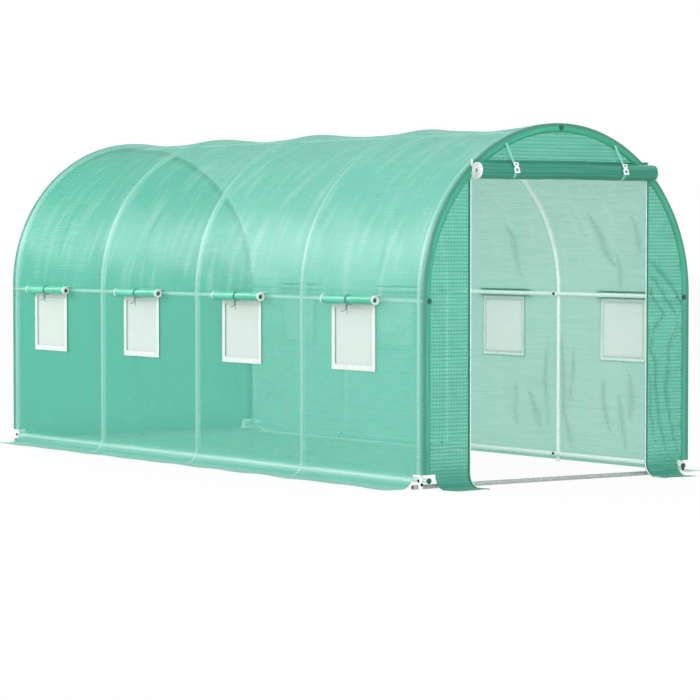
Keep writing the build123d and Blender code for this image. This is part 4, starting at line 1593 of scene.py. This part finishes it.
screw = {"Head Radius": 0.003, "Head Height": 0.002, "Washer Radius": 0.0038, "Washer Height": 0.0008}
screw_spots = []
for station in hoop_places:
    for turn in arch_joints:
        for shift in (-0.02, 0.03):
            out, up = cos(turn + shift), sin(turn + shift)
            place = ((hoop_radius - tube) * out, station, spring + (hoop_radius - tube) * up)
            screw_spots.append((place, (-out, 0, -up)))
bolted("joint_screws", screw_spots, {"Material": galvanised, **screw}, "steel_tube")

# %% [markdown]
# ## Cloth
# Each sheet's area is worked out from its grid of points, and the roof, walls and end panels print theirs.

# %% [markdown]
# ## Floor, light and background
# The background is white, and so is the floor as the camera sees it straight on. Behind the film or the
# net both are dimmed to two thirds, as a real film's haze does, and under the tunnel the floor shows its
# plain pale grey. A little of that grey is kept everywhere, so the tunnel's shadow still falls on it.

# %% Floor and world
behind_film = 0.68


def unveiled(tree):
    """1 for what the camera sees with nothing in front, 0 for what it sees through the film or the net."""
    layers = add(tree, "ShaderNodeLightPath").outputs["Transparent Depth"]
    return add(tree, "ShaderNodeMath", {0: layers, 1: 0.5}, operation="LESS_THAN")


def white_share(tree, clear_view):
    """Share of plain white: for the camera where the view is clear, and for reflections."""
    path = add(tree, "ShaderNodeLightPath").outputs
    seen = add(tree, "ShaderNodeMath", {0: path["Is Camera Ray"], 1: clear_view}, operation="MULTIPLY")
    feeds = {0: path["Is Glossy Ray"], 1: path["Is Transmission Ray"]}
    other = add(tree, "ShaderNodeMath", feeds, operation="MAXIMUM")
    return add(tree, "ShaderNodeMath", {0: seen, 1: other}, operation="MAXIMUM")


def white_light(tree):
    """Strength of the white that the camera sees: full, or less behind the film."""
    return add(tree, "ShaderNodeMapRange", {"Value": unveiled(tree), "To Min": behind_film, "To Max": 1})


floor_finish, tree = new_finish("pale_floor")
spot = add(tree, "ShaderNodeTexCoord").outputs["Object"]
ways = add(tree, "ShaderNodeSeparateXYZ", {0: spot}).outputs
outside = unveiled(tree)
for way, inner, outer in ((ways[0], 0.9, 1.0), (ways[1], 2.2, 2.3)):
    away = add(tree, "ShaderNodeMath", {0: way}, operation="ABSOLUTE")
    beyond = add(tree, "ShaderNodeMapRange", {"Value": away, "From Min": inner, "From Max": outer})
    outside = add(tree, "ShaderNodeMath", {0: outside, 1: beyond}, operation="MAXIMUM")
kept_white = 0.94
share = add(tree, "ShaderNodeMath", {0: white_share(tree, outside), 1: kept_white}, operation="MULTIPLY")
plain = add(tree, "ShaderNodeBsdfDiffuse", {"Color": linear("#C9CFCC")})
white = add(tree, "ShaderNodeEmission", {"Color": (1, 1, 1, 1), "Strength": white_light(tree)})
mixed = add(tree, "ShaderNodeMixShader", {0: share, 1: plain, 2: white})
add(tree, "ShaderNodeOutputMaterial", {"Surface": mixed})
floor_half = 60
corners = [(-1, -1), (1, -1), (1, 1), (-1, 1)]
floor_points = [(floor_half * a, floor_half * b, -0.0005) for a, b in corners]
floor = new_piece("floor", floor_points, [(0, 1, 2, 3)], [floor_finish])

world = bpy.data.worlds.new("studio")
world.use_nodes = True
tree = world.node_tree
tree.nodes.clear()
light = add(tree, "ShaderNodeBackground", {"Color": (1, 1, 1, 1), "Strength": 0.98})
seen = add(tree, "ShaderNodeBackground", {"Color": (1, 1, 1, 1), "Strength": white_light(tree)})
mixed = add(tree, "ShaderNodeMixShader", {0: white_share(tree, 1.0), 1: light, 2: seen})
add(tree, "ShaderNodeOutputWorld", {"Surface": mixed})
scene.world = world
print("white behind the film:", behind_film)

# %% [markdown]
# Four large lamps add to the light from all round. One is high on the left and gives the arch its
# shape. One shines on the door end. One stands low behind the left side, and its reflection is the pale
# haze on the bays next to the door. The last makes the right wall glow from outside, so that it looks
# paler through the doorway than the film in front of it.

# %% Lamps
def soft_lamp(name, place, aim, wide, tall, energy):
    """Large rectangular lamp that shines from one place to another."""
    data = bpy.data.lights.new(name, "AREA")
    data.shape = "RECTANGLE"
    data.size = wide
    data.size_y = tall
    data.energy = energy
    lamp = bpy.data.objects.new(name, data)
    lamp.location = place
    lamp.rotation_euler = (Vector(aim) - Vector(place)).to_track_quat("-Z", "Y").to_euler()
    scene.collection.objects.link(lamp)
    print(name, energy, "W")


soft_lamp("high_box", (-6.5, -6.0, 7.5), (0, 0, 0.8), wide=5, tall=4, energy=160)
soft_lamp("door_box", (-3.6, -8.5, 2.6), (0.7, -0.6, 0.9), wide=3, tall=2.4, energy=250)
soft_lamp("sheen_box", (-5.0, 6.2, 4.1), (-0.9, -0.6, 1.3), wide=4, tall=3, energy=400)
soft_lamp("right_box", (5.6, 0.6, 3.0), (1.1, -0.5, 0.9), wide=4, tall=3, energy=130)
scene.view_settings.view_transform = "Standard"
